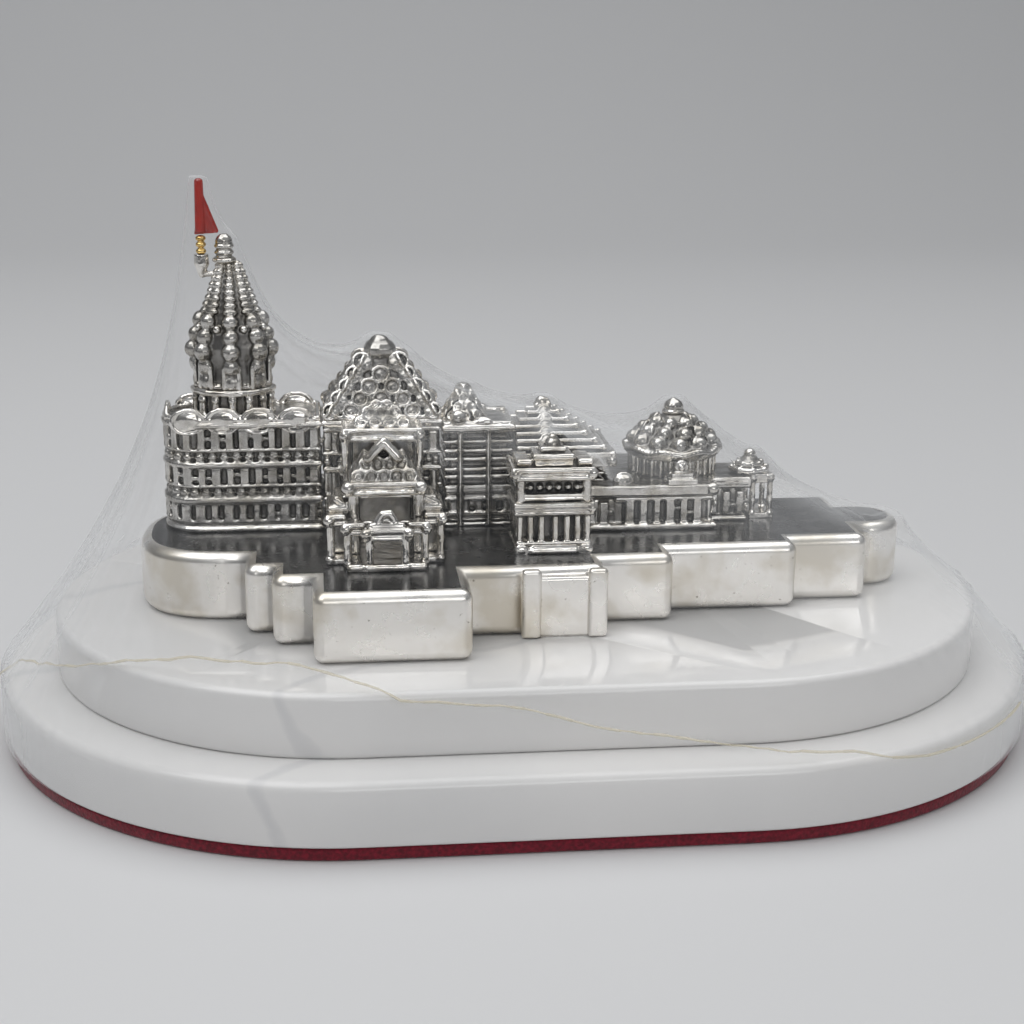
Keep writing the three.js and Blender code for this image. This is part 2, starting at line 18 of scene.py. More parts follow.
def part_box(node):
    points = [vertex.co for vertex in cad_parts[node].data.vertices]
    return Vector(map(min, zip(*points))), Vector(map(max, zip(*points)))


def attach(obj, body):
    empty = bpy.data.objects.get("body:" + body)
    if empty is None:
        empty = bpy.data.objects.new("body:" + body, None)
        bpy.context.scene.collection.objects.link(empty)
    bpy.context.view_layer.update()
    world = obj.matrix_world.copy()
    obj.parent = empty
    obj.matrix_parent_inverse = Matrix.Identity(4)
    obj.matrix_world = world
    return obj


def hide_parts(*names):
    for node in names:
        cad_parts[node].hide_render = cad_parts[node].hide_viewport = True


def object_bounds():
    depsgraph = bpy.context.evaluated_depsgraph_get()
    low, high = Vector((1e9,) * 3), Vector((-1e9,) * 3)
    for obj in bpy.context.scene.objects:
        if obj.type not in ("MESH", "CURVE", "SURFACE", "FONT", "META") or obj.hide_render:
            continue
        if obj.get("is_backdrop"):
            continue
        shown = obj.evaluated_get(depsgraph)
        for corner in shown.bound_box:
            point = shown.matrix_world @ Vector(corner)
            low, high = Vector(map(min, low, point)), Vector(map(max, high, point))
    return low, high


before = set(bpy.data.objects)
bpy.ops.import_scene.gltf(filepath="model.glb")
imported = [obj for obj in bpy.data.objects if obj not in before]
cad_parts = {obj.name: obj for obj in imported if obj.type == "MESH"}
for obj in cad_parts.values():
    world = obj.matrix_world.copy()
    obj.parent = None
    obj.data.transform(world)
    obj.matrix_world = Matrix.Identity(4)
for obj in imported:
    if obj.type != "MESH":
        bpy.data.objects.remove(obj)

CAD_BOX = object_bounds()
LOG = logging.getLogger("temple")
MM = 0.001
FINE = 0.13
AXIS_Y = 3.0
TURN = 2.0 * math.pi

Point = tuple[float, float, float]
Range = tuple[float, float]
Colour = tuple[float, float, float]


class Body(Enum):
    """The bodies that a piece can ride on."""

    MODEL = "model"
    WRAP = "wrap"


class Slot(Enum):
    """The finishes that the record names."""

    SILVER = "silver"
    MARBLE = "marble"
    FELT = "felt"
    GOLD = "gold"
    RED = "red_enamel"
    STEEL = "steel"
    FILM = "clear_film"


class Course(Enum):
    """One kind of horizontal course in a building's wall."""

    BAND = "band"
    POSTS = "posts"
    BEADS = "beads"


class Side(Enum):
    """The side of the temple that an entrance faces."""

    FRONT = "front"
    REAR = "rear"


@dataclass(frozen=True)
class Span:
    """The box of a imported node, in millimetres."""

    x0: float
    x1: float
    y0: float
    y1: float
    z0: float
    z1: float

    @classmethod
    def of(cls, node: str) -> "Span":
        """Reads a node's box.

        Args:
            node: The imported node's name.

        Returns:
            Its box in millimetres.
        """
        low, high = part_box(node)
        return cls(*(value / MM for pair in zip(low, high) for value in pair))

    @property
    def x(self) -> float:
        """The middle along X."""
        return (self.x0 + self.x1) / 2

    @property
    def y(self) -> float:
        """The middle along Y."""
        return (self.y0 + self.y1) / 2


# ---- finishes ---------------------------------------------------------------------------------


class Nodes:
    """A small helper that adds and joins shader nodes in one material."""

    def __init__(self, name: str) -> None:
        """Starts a material with a Principled surface.

        Args:
            name: The material's name.
        """
        self.material = bpy.data.materials.new(name)
        self.material.use_nodes = True
        self.tree = self.material.node_tree
        self.surface = self.tree.nodes["Principled BSDF"]
        self.output = self.tree.nodes["Material Output"]

    def add(self, kind: str, **settings: object) -> bpy.types.Node:
        """Adds a node.

        Args:
            kind: The node's Blender type.
            settings: Input sockets by name with spaces as underscores, or node properties.

        Returns:
            The new node.
        """
        node = self.tree.nodes.new(kind)
        for key, value in settings.items():
            socket = node.inputs.get(key.replace("_", " "))
            if socket is not None:
                socket.default_value = value
            else:
                setattr(node, key, value)
        return node

    def join(self, source: bpy.types.NodeSocket, target: bpy.types.NodeSocket) -> None:
        """Links two sockets."""
        self.tree.links.new(source, target)

    def place(self) -> bpy.types.NodeSocket:
        """Gives the Object coordinates."""
        return self.add("ShaderNodeTexCoord").outputs["Object"]

    def noise(self, scale: float, detail: float = 4.0, stretch: Point = (1, 1, 1)) -> bpy.types.NodeSocket:
        """Adds a noise pattern on Object coordinates.

        Args:
            scale: Features per metre.
            detail: Octaves of the noise.
            stretch: Scale along each axis.

        Returns:
            The noise's value socket.
        """
        mapping = self.add("ShaderNodeMapping", Scale=stretch)
        self.join(self.place(), mapping.inputs["Vector"])
        noise = self.add("ShaderNodeTexNoise", Scale=scale, Detail=detail)
        self.join(mapping.outputs["Vector"], noise.inputs["Vector"])
        return noise.outputs["Fac"]

    def ramp(
        self, source: bpy.types.NodeSocket, stops: Sequence[tuple[float, Colour]]
    ) -> bpy.types.NodeSocket:
        """Maps a value through a colour ramp.

        Args:
            source: The value to map.
            stops: Positions with their colours.

        Returns:
            The ramp's colour socket.
        """
        ramp = self.add("ShaderNodeValToRGB")
        elements = ramp.color_ramp.elements
        while len(elements) < len(stops):
            elements.new(0.5)
        for element, (position, colour) in zip(elements, stops):
            element.position = position
            element.color = (*colour, 1.0)
        self.join(source, ramp.inputs["Fac"])
        return ramp.outputs["Color"]

    def mix(
        self, share: bpy.types.NodeSocket, first: bpy.types.NodeSocket, second: bpy.types.NodeSocket,
        blend: str = "MIX",
    ) -> bpy.types.NodeSocket:
        """Mixes two colours.

        Args:
            share: How much of the second colour shows.
            first: The first colour.
            second: The second colour.
            blend: The way that they are mixed.

        Returns:
            The mixed colour socket.
        """
        mix = self.add("ShaderNodeMix", data_type="RGBA", blend_type=blend)
        self.join(share, mix.inputs[0])
        self.join(first, mix.inputs[6])
        self.join(second, mix.inputs[7])
        return mix.outputs[2]

    def bump(self, height: bpy.types.NodeSocket, strength: float, depth: float) -> None:
        """Roughens the surface's normals.

        Args:
            height: The height pattern.
            strength: The bump's strength.
            depth: The bump's depth in metres.
        """
        bump = self.add("ShaderNodeBump", Strength=strength, Distance=depth)
        self.join(height, bump.inputs["Height"])
        self.join(bump.outputs["Normal"], self.surface.inputs["Normal"])

    def set(self, **values: object) -> None:
        """Sets constants on the surface's own sockets."""
        for key, value in values.items():
            self.surface.inputs[key.replace("_", " ")].default_value = value


@dataclass(frozen=True)
class AntiqueSilver:
    """Cast silver, with real oxide in the recesses plus painted shade there, a painted dark reflection as
    grey on the flats and a painted highlight on what stands out.
    """

    name: str = "antique_silver"
    bright: Colour = (0.90, 0.875, 0.835)
    dull: Colour = (0.55, 0.535, 0.505)
    flat: Colour = (0.27, 0.262, 0.25)
    dark: Colour = (0.03, 0.03, 0.03)
    reach: float = 2.0
    edge: float = 1.2
    pits: float = 0.3

    def build(self) -> bpy.types.Material:
        """Makes the material.

        Returns:
            The new material.
        """
        nodes = Nodes(self.name)
        full = nodes.add("ShaderNodeValue")
        full.outputs[0].default_value = 1.0
        edge = nodes.add(
            "ShaderNodeAmbientOcclusion", samples=6, inside=True, only_local=True, Distance=self.edge * MM,
        ).outputs["AO"]
        # Painted highlight: the base colour is brightest at convex edges, where the light catches them, and a
        # darker grey on the flats stands in for their dark reflection.
        painted_highlight_and_flat_reflection = nodes.ramp(edge, [(0.48, self.bright), (0.78, self.dull), (0.98, self.flat)])
        open_air = nodes.add(
            "ShaderNodeAmbientOcclusion", samples=8, only_local=True, Distance=self.reach * MM,
        ).outputs["AO"]
        # Partly real oxide in the hollows and partly painted shade: the base colour goes dark where the
        # surface is enclosed, as in doorways and between bands.
        oxide_and_painted_shade = nodes.ramp(open_air, [(0.22, self.dark), (0.50, (0.45, 0.44, 0.425)), (0.72, (1, 1, 1))])
        stain = nodes.ramp(nodes.noise(420, 6), [(0.36, (0.66, 0.64, 0.60)), (0.56, (1, 1, 1))])
        tone = nodes.mix(full.outputs[0], painted_highlight_and_flat_reflection, oxide_and_painted_shade, "MULTIPLY")
        nodes.join(nodes.mix(full.outputs[0], tone, stain, "MULTIPLY"), nodes.surface.inputs["Base Color"])
        rough = nodes.ramp(edge, [(0.45, (0.14,) * 3), (0.95, (0.30,) * 3)])
        nodes.join(rough, nodes.surface.inputs["Roughness"])
        nodes.bump(nodes.noise(2200, 5), self.pits, 0.00005)
        nodes.set(Metallic=1.0)
        return nodes.material


@dataclass(frozen=True)
class PlinthSilver:
    """Smooth polished silver with a few tarnish marks and pits."""

    name: str = "plinth_silver"
    bright: Colour = (0.93, 0.905, 0.865)
    stain: Colour = (0.74, 0.69, 0.60)

    def build(self) -> bpy.types.Material:
        """Makes the material.

        Returns:
            The new material.
        """
        nodes = Nodes(self.name)
        clouds = nodes.ramp(nodes.noise(130, 8), [(0.38, self.stain), (0.52, self.bright)])
        spots = nodes.ramp(nodes.noise(1900, 3), [(0.24, (0.45, 0.42, 0.38)), (0.31, (1, 1, 1))])
        full = nodes.add("ShaderNodeValue")
        full.outputs[0].default_value = 1.0
        nodes.join(nodes.mix(full.outputs[0], clouds, spots, "MULTIPLY"), nodes.surface.inputs["Base Color"])
        rough = nodes.ramp(nodes.noise(260, 5), [(0.35, (0.38,) * 3), (0.7, (0.22,) * 3)])
        nodes.join(rough, nodes.surface.inputs["Roughness"])
        nodes.bump(nodes.noise(170, 3), 0.35, 0.0002)
        nodes.set(Metallic=1.0)
        return nodes.material


@dataclass(frozen=True)
class PaintedReflectionDeckSilver:
    """The plinth's deck: glossy, with a dark base colour that paints in the deck's dark reflection."""

    name: str = "deck_painted_reflection_silver"
    dark: Colour = (0.055, 0.055, 0.058)
    light: Colour = (0.17, 0.17, 0.17)

    def build(self) -> bpy.types.Material:
        """Makes the material.

        Returns:
            The new material.
        """
        nodes = Nodes(self.name)
        # Painted reflection: the dark base colour stands in for the deck's dark mirror reflection; the noise
        # only varies it at random.
        tone = nodes.ramp(nodes.noise(300, 8), [(0.4, self.dark), (0.68, self.light)])
        nodes.join(tone, nodes.surface.inputs["Base Color"])
        rough = nodes.ramp(nodes.noise(500, 4), [(0.3, (0.16,) * 3), (0.7, (0.3,) * 3)])
        nodes.join(rough, nodes.surface.inputs["Roughness"])
        nodes.bump(nodes.noise(900, 6), 0.5, 0.00008)
        nodes.set(Metallic=1.0)
        return nodes.material


@dataclass(frozen=True)
class PolishedMarble:
    """White marble with faint grey veins under a polish."""

    name: str = "polished_marble"
    white: Colour = (0.80, 0.79, 0.78)
    cloud: Colour = (0.73, 0.725, 0.72)
    vein: Colour = (0.60, 0.60, 0.61)

    def build(self) -> bpy.types.Material:
        """Makes the material.

        Returns:
            The new material.
        """
        nodes = Nodes(self.name)
        base = nodes.ramp(nodes.noise(22, 6), [(0.35, self.cloud), (0.6, self.white)])
        bend = nodes.add("ShaderNodeTexNoise", Scale=16.0, Detail=6.0)
        nodes.join(nodes.place(), bend.inputs["Vector"])
        mapping = nodes.add("ShaderNodeMapping", Rotation=(0.3, 0.5, 1.05), Location=(0.004, 0.0, 0.0))
        nodes.join(nodes.place(), mapping.inputs["Vector"])
        warp = nodes.add("ShaderNodeVectorMath", operation="MULTIPLY_ADD")
        warp.inputs[1].default_value = (0.03, 0.03, 0.03)
        nodes.join(bend.outputs["Color"], warp.inputs[0])
        nodes.join(mapping.outputs["Vector"], warp.inputs[2])
        wave = nodes.add("ShaderNodeTexWave", Scale=8.0, Distortion=1.5, Detail=3.0)
        nodes.join(warp.outputs["Vector"], wave.inputs["Vector"])
        lines = nodes.ramp(
            wave.outputs["Fac"], [(0.0, (0.5,) * 3), (0.0006, (0.25,) * 3), (0.003, (0, 0, 0))]
        )
        grey = nodes.add("ShaderNodeRGB")
        grey.outputs[0].default_value = (*self.vein, 1.0)
        nodes.join(nodes.mix(lines, base, grey.outputs[0]), nodes.surface.inputs["Base Color"])
        nodes.bump(nodes.noise(60, 3), 0.05, 0.0002)
        nodes.set(Roughness=0.09, IOR=1.52)
        return nodes.material


@dataclass(frozen=True)
class Felt:
    """Dark red felt with a short nap."""

    name: str = "red_felt"
    colour: Colour = (0.23, 0.006, 0.022)
    shade: Colour = (0.10, 0.002, 0.010)

    def build(self) -> bpy.types.Material:
        """Makes the material.

        Returns:
            The new material.
        """
        nodes = Nodes(self.name)
        tone = nodes.ramp(nodes.noise(2500, 4), [(0.35, self.shade), (0.65, self.colour)])
        nodes.join(tone, nodes.surface.inputs["Base Color"])
        nodes.bump(nodes.noise(3000, 4), 0.8, 0.0001)
        nodes.set(Roughness=0.95, Sheen_Weight=0.3)
        return nodes.material


@dataclass(frozen=True)
class Plate:
    """A thin plated or enamelled metal finish with light wear."""

    name: str
    colour: Colour
    worn: Colour
    metallic: float
    roughness: float
    coat: float = 0.0

    def build(self) -> bpy.types.Material:
        """Makes the material.

        Returns:
            The new material.
        """
        nodes = Nodes(self.name)
        tone = nodes.ramp(nodes.noise(900, 5), [(0.35, self.worn), (0.6, self.colour)])
        nodes.join(tone, nodes.surface.inputs["Base Color"])
        nodes.bump(nodes.noise(1500, 4), 0.3, 0.00005)
        nodes.set(Metallic=self.metallic, Roughness=self.roughness, Coat_Weight=self.coat)
        return nodes.material


@dataclass(frozen=True)
class ClearFilm:
    """Heat-shrunk film: nearly clear, with a gloss that strengthens at a glancing angle."""

    name: str = "clear_film"
    tint: Colour = (0.9, 0.91, 0.92)
    haze: float = 0.012
    gloss: float = 1.0

    def build(self) -> bpy.types.Material:
        """Makes the material.

        Returns:
            The new material.
        """
        nodes = Nodes(self.name)
        nodes.set(Base_Color=(*self.tint, 1.0), Roughness=0.07, Metallic=0.0)
        streaks = nodes.noise(70, 5, (1.0, 1.0, 0.25))
        crease = nodes.ramp(streaks, [(0.44, (0, 0, 0)), (0.5, (1, 1, 1)), (0.56, (0, 0, 0))])
        nodes.bump(crease, 0.35, 0.0003)
        facing = nodes.add("ShaderNodeLayerWeight", Blend=0.35).outputs["Facing"]
        power = nodes.add("ShaderNodeMath", operation="POWER")
        power.inputs[1].default_value = 2.0
        nodes.join(facing, power.inputs[0])
        shine = nodes.add("ShaderNodeMath", operation="MULTIPLY_ADD")
        shine.inputs[1].default_value = self.gloss
        shine.inputs[2].default_value = self.haze
        nodes.join(power.outputs[0], shine.inputs[0])
        clear = nodes.add("ShaderNodeBsdfTransparent")
        mixed = nodes.add("ShaderNodeMixShader")
        nodes.join(shine.outputs[0], mixed.inputs[0])
        nodes.join(clear.outputs[0], mixed.inputs[1])
        nodes.join(nodes.surface.outputs[0], mixed.inputs[2])
        nodes.join(mixed.outputs[0], nodes.output.inputs["Surface"])
        return nodes.material


@dataclass(frozen=True)
class Paper:
    """The plain pale floor."""

    name: str = "studio_paper"
    colour: Colour = (0.68, 0.68, 0.685)

    def build(self) -> bpy.types.Material:
        """Makes the material.

        Returns:
            The new material.
        """
        nodes = Nodes(self.name)
        nodes.set(Base_Color=(*self.colour, 1.0), Roughness=0.6)
        return nodes.material


# ---- modelling --------------------------------------------------------------------------------


@dataclass(frozen=True)
class Outline:
    """A building in plan: a rectangle, with a half-round left end where apse isn't 0."""

    x0: float
    x1: float
    y0: float
    y1: float
    apse: float = 0.0

    @classmethod
    def of(cls, span: Span, apse: float = 0.0) -> "Outline":
        """Takes the outline of a node's box."""
        return cls(span.x0, span.x1, span.y0, span.y1, apse)

    def points(self, inset: float = 0.0, steps: int = 20) -> list[tuple[float, float]]:
        """Lists the corners anticlockwise.

        Args:
            inset: How far the line lies inside the outline.
            steps: Straight pieces in the half-round end.

        Returns:
            The points in plan.
        """
        x0, x1, y0, y1 = self.x0 + inset, self.x1 - inset, self.y0 + inset, self.y1 - inset
        if not self.apse:
            return [(x1, y0), (x1, y1), (x0, y1), (x0, y0)]
        middle, half, reach = (y0 + y1) / 2, (y1 - y0) / 2, self.apse - inset
        arc = []
        for i in range(steps + 1):
            angle = math.pi / 2 + math.pi * i / steps
            arc.append((x0 + reach + reach * math.cos(angle), middle + half * math.sin(angle)))
        return [(x1, y0), (x1, y1), *arc]

    def walk(self, inset: float, pitch: float) -> Iterator[tuple[float, float, float]]:
        """Walks round the outline in equal steps.

        Args:
            inset: How far the line lies inside the outline.
            pitch: The length of a step.

        Yields:
            x, y and the direction that the wall faces.
        """
        corners = self.points(inset)
        left_over = pitch / 2
        for (ax, ay), (bx, by) in zip(corners, corners[1:] + corners[:1]):
            length = math.hypot(bx - ax, by - ay)
            facing = math.atan2(ax - bx, by - ay)
            while left_over <= length:
                share = left_over / length
                yield ax + (bx - ax) * share, ay + (by - ay) * share, facing
                left_over += pitch
            left_over -= length


class Wax:
    """A lump of modelling wax: closed shapes that are fused into one soft surface."""

    def __init__(self, seed: int = 1) -> None:
        """Starts with nothing.

        Args:
            seed: The seed of the hand-made unevenness.
        """
        self.mesh = bmesh.new()
        self.hand = random.Random(seed)

    def add(self, part: bmesh.types.BMesh, matrix: Matrix | None = None) -> None:
        """Closes a shape, turns it outwards and adds it.

        Args:
            part: The shape, which is used up.
            matrix: Where it goes.
        """
        bmesh.ops.remove_doubles(part, verts=part.verts, dist=1e-4)
        bmesh.ops.recalc_face_normals(part, faces=part.faces)
        if matrix is not None:
            bmesh.ops.transform(part, matrix=matrix, verts=part.verts)
        data = bpy.data.meshes.new("part")
        part.to_mesh(data)
        part.free()
        self.mesh.from_mesh(data)
        bpy.data.meshes.remove(data)

    def block(self, xs: Range, ys: Range, zs: Range, turn: float = 0.0) -> None:
        """Adds a box.

        Args:
            xs: Left and right.
            ys: Front and rear.
            zs: Foot and top.
            turn: The turn about its own upright axis, in radians.
        """
        size = [abs(b - a) for a, b in (xs, ys, zs)]
        middle = Vector([(a + b) / 2 for a, b in (xs, ys, zs)])
        matrix = Matrix.Translation(middle) @ Matrix.Rotation(turn, 4, "Z") @ Matrix.Diagonal((*size, 1))
        bmesh.ops.create_cube(self.mesh, size=1.0, matrix=matrix)

    def ball(self, at: Point, radius: float, stretch: Point = (1, 1, 1), turn: float = 0.0) -> None:
        """Adds a ball.

        Args:
            at: Its centre.
            radius: Its radius.
            stretch: How it is stretched along each axis before it is turned.
            turn: The turn about the upright axis, in radians.
        """
        matrix = Matrix.Translation(at) @ Matrix.Rotation(turn, 4, "Z") @ Matrix.Diagonal((*stretch, 1))
        bmesh.ops.create_uvsphere(self.mesh, u_segments=10, v_segments=7, radius=radius, matrix=matrix)

    def post(self, x: float, y: float, zs: Range, radius: float, top: float | None = None) -> None:
        """Adds an upright round post.

        Args:
            x: Its place along X.
            y: Its place along Y.
            zs: Foot and top.
            radius: Its radius at the foot.
            top: Its radius at the top, if that differs.
        """
        bmesh.ops.create_cone(
            self.mesh, cap_ends=True, segments=14, radius1=radius, radius2=radius if top is None else top,
            depth=zs[1] - zs[0], matrix=Matrix.Translation((x, y, sum(zs) / 2)),
        )

    def bar(self, start: Point, end: Point, radius: float) -> None:
        """Adds a round bar with ball ends.

        Args:
            start: One end.
            end: The other end.
            radius: Its radius.
        """
        a, b = Vector(start), Vector(end)
        turn = (b - a).to_track_quat("Z", "Y").to_matrix().to_4x4()
        bmesh.ops.create_cone(
            self.mesh, cap_ends=True, segments=10, radius1=radius, radius2=radius,
            depth=(b - a).length, matrix=Matrix.Translation((a + b) / 2) @ turn,
        )
        for point in (start, end):
            self.ball(point, radius)

    def ring(self, at: Point, radius: float, wire: float, facing: Vector, stretch: Point = (1, 1, 1)) -> None:
        """Adds a wire bent into a circle.

        Args:
            at: Its centre.
            radius: The circle's radius.
            wire: The wire's radius.
            facing: The direction of the circle's axis.
            stretch: How it is stretched along each axis before it is turned.
        """
        part = bmesh.new()
        upright = Matrix.Translation((radius, 0, 0)) @ Matrix.Rotation(math.pi / 2, 4, "X")
        bmesh.ops.create_circle(part, segments=6, radius=wire, matrix=upright)
        bmesh.ops.spin(
            part, geom=[*part.verts, *part.edges], cent=(0, 0, 0), axis=(0, 0, 1), angle=TURN, steps=14,
            use_merge=True,
        )
        turn = facing.to_track_quat("Z", "Y").to_matrix().to_4x4()
        self.add(part, Matrix.Translation(at) @ turn @ Matrix.Diagonal((*stretch, 1)))

    def turned(
        self, profile: Iterable[Range], x: float, y: float, flat: float = 1.0, steps: int = 32
    ) -> None:
        """Adds a turned shape.

        Args:
            profile: Radius and height, from the axis at the foot to the axis at the top.
            x: The axis' place along X.
            y: The axis' place along Y.
            flat: How much it is flattened along Y.
            steps: Straight pieces around.
        """
        part = bmesh.new()
        line = [part.verts.new((radius, 0, z)) for radius, z in profile]
        edges = [part.edges.new(pair) for pair in zip(line, line[1:])]
        bmesh.ops.spin(
            part, geom=[*line, *edges], cent=(0, 0, 0), axis=(0, 0, 1), angle=TURN, steps=steps,
            use_merge=True,
        )
        self.add(part, Matrix.Translation((x, y, 0)) @ Matrix.Diagonal((1, flat, 1, 1)))

    def prism(self, outline: Iterable[tuple[float, float]], zs: Range) -> None:
        """Adds an upright prism.

        Args:
            outline: Its outline in plan.
            zs: Foot and top.
        """
        part = bmesh.new()
        face = part.faces.new([part.verts.new((x, y, zs[0])) for x, y in outline])
        grown = bmesh.ops.extrude_face_region(part, geom=[face])["geom"]
        lifted = [item for item in grown if isinstance(item, bmesh.types.BMVert)]
        bmesh.ops.translate(part, vec=(0, 0, zs[1] - zs[0]), verts=lifted)
        self.add(part)

    def plate(self, outline: Iterable[tuple[float, float]], ys: Range) -> None:
        """Adds an upright plate that faces the front.

        Args:
            outline: Its outline in x and z.
            ys: Front and rear.
        """
        part = bmesh.new()
        face = part.faces.new([part.verts.new((x, ys[0], z)) for x, z in outline])
        grown = bmesh.ops.extrude_face_region(part, geom=[face])["geom"]
        moved = [item for item in grown if isinstance(item, bmesh.types.BMVert)]
        bmesh.ops.translate(part, vec=(0, ys[1] - ys[0], 0), verts=moved)
        self.add(part)

    def pyramid(self, span: Span, shrink: float, top: float, tip: float = 0.04) -> None:
        """Adds a four-sided pyramid on a box's foot.

        Args:
            span: The box.
            shrink: How far its foot lies inside the box.
            top: The height of its top.
            tip: The top's width as a share of the foot's.
        """
        reach = math.sqrt(2.0)
        size = ((span.x1 - span.x0) / 2 - shrink, (span.y1 - span.y0) / 2 - shrink)
        place = Matrix.Translation((span.x, span.y, (span.z0 + top) / 2))
        shape = Matrix.Diagonal((size[0], size[1], 1, 1)) @ Matrix.Rotation(math.pi / 4, 4, "Z")
        bmesh.ops.create_cone(
            self.mesh, cap_ends=True, segments=4, radius1=reach, radius2=reach * tip, depth=top - span.z0,
            matrix=place @ shape,
        )

    def courses(
        self, outline: Outline, foot: float, courses: Iterable[tuple[Course, float, float, float]]
    ) -> None:
        """Builds a wall from horizontal courses.

        Args:
            outline: The wall's outline.
            foot: The height that the courses count from.
            courses: For each course, its kind, foot, top and inset.
        """
        for kind, low, high, inset in courses:
            zs = (foot + low, foot + high)
            if kind is Course.BAND:
                swell = min(0.22, (high - low) / 4)
                self.prism(outline.points(inset + 0.16), zs)
                self.prism(outline.points(inset - 0.06), (zs[0] + swell, zs[1] - swell))
                continue
            self.prism(outline.points(inset + 0.65), (zs[0] - 0.3, zs[1] + 0.3))
            if kind is Course.BEADS:
                radius = (high - low) / 2
                for x, y, facing in outline.walk(inset + 0.42, 3.3 * radius):
                    size = radius * self.hand.uniform(0.9, 1.1)
                    self.ball((x, y, sum(zs) / 2), size, (0.9, 1.5, 1), facing)
                continue
            for x, y, facing in outline.walk(inset + 0.45, 1.6):
                wide = self.hand.uniform(0.34, 0.56)
                self.block((x - 0.42, x + 0.42), (y - wide, y + wide), zs, facing)
                if self.hand.random() < 0.6:
                    across = (-math.sin(facing) * 0.8, math.cos(facing) * 0.8)
                    level = zs[0] + (high - low) * self.hand.uniform(0.3, 0.7)
                    self.ball((x + across[0], y + across[1], level), 0.34, (1, 1.2, 0.9), facing)

    def scale_row(self, start: Point, end: Point, count: int, radius: float, facing: Vector) -> None:
        """Adds a row of scales, each a wire hoop round a sunk ball.

        Args:
            start: The first scale's centre.
            end: The last scale's centre.
            count: How many scales.
            radius: A scale's radius.
            facing: The direction that they face.
        """
        a, b = Vector(start), Vector(end)
        for i in range(count):
            at = a.lerp(b, i / (count - 1) if count > 1 else 0.5)
            size = radius * self.hand.uniform(0.92, 1.06)
            self.ring(tuple(at), size * 1.04, 0.23, facing)
            self.ball(tuple(at - facing * size * 0.95), size * 1.02)

    def mirrored(self) -> "Wax":
        """Turns a front piece into the rear one.

        Returns:
            This wax, mirrored.
        """
        verts = self.mesh.verts[:]
        bmesh.ops.scale(self.mesh, vec=(1, -1, 1), verts=verts)
        bmesh.ops.translate(self.mesh, vec=(0, 2 * AXIS_Y, 0), verts=verts)
        bmesh.ops.reverse_faces(self.mesh, faces=self.mesh.faces[:])
        return self

    def to_object(self, name: str) -> bpy.types.Object:
        """Turns the shapes into an object, still in millimetres.

        Args:
            name: The object's name.

        Returns:
            The new object.
        """
        data = bpy.data.meshes.new(name)
        self.mesh.to_mesh(data)
        self.mesh.free()
        piece = bpy.data.objects.new(name, data)
        bpy.context.scene.collection.objects.link(piece)
        return piece


def freeze(piece: bpy.types.Object, scale: float = MM) -> None:
    """Applies an object's modifiers and turns its mesh into metres.

    Args:
        piece: The object.
        scale: What its lengths are multiplied by.
    """
    graph = bpy.context.evaluated_depsgraph_get()
    data = bpy.data.meshes.new_from_object(piece.evaluated_get(graph))
    rough = piece.data
    piece.modifiers.clear()
    piece.data = data
    data.name = piece.name
    bpy.data.meshes.remove(rough)
    data.transform(Matrix.Scale(scale, 4))
    data.shade_smooth()


def dress(
    piece: bpy.types.Object, body: Body, slot: Slot, finishes: Sequence[bpy.types.Material], *nodes: str,
) -> bpy.types.Object:
    """Gives a finished piece its materials and its place in the assembly.

    Args:
        piece: The piece.
        body: The body that it rides on.
        slot: The record's finish; not used.
        finishes: Its materials, by material index.
        nodes: The plain solids that it stands for.

    Returns:
        The piece.
    """
    piece.data.materials.clear()
    for finish in finishes:
        piece.data.materials.append(finish)
    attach(piece, body.value)
    if nodes:
        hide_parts(*nodes)
    LOG.info("%s: %d faces on %s", piece.name, len(piece.data.polygons), body.value)
    return piece


@dataclass
class Foundry:
    """Casts waxes in silver, each in the place of a plain solid."""

    silver: bpy.types.Material
    unevenness: float = 0.16
    castings: tuple[bpy.types.Object, ...] = ()

    def __post_init__(self) -> None:
        """Makes the pattern of the hand-made unevenness."""
        self.clouds = bpy.data.textures.new("hand_made", "CLOUDS")
        self.clouds.noise_scale = 1.4

    def pour(self, wax: Wax, node: str, grain: float = FINE, soften: int = 2) -> bpy.types.Object:
        """Fuses a wax into one soft closed surface and finishes it as silver.

        Args:
            wax: The wax.
            node: The plain solid that it stands for.
            grain: The size of the smallest detail.
            soften: How often it is smoothed.

        Returns:
            The casting.
        """
        piece = wax.to_object(f"{node}_cast")
        fuse = piece.modifiers.new("fuse", "REMESH")
        fuse.mode = "VOXEL"
        fuse.voxel_size = grain
        wobble = piece.modifiers.new("wobble", "DISPLACE")
        wobble.texture = self.clouds
        wobble.texture_coords = "LOCAL"
        wobble.strength = self.unevenness
        wobble.mid_level = 0.5
        smooth = piece.modifiers.new("soften", "SMOOTH")
        smooth.factor = 0.5
        smooth.iterations = soften
        freeze(piece)
        self.castings += (piece,)
        return dress(piece, Body.MODEL, Slot.SILVER, [self.silver], node)


# ---- stand ------------------------------------------------------------------------------------


def stadium(length: float, width: float, steps: int = 72, along: int = 1) -> list[tuple[float, float]]:
    """Draws a rectangle with half-round ends.

    Args:
        length: Its length along X.
        width: Its width along Y.
        steps: Straight pieces in each end.
        along: Pieces in each straight side.

    Returns:
        The outline in plan.
    """
    radius = width / 2
    points = []
    for centre, start in ((length / 2 - radius, -math.pi / 2), (radius - length / 2, math.pi / 2)):
        for i in range(steps + 1):
            angle = start + math.pi * i / steps
            points.append((centre + radius * math.cos(angle), radius * math.sin(angle)))
        x, y = points[-1]
        points += [(x - 2 * centre * i / along, y) for i in range(1, along)]
    return points


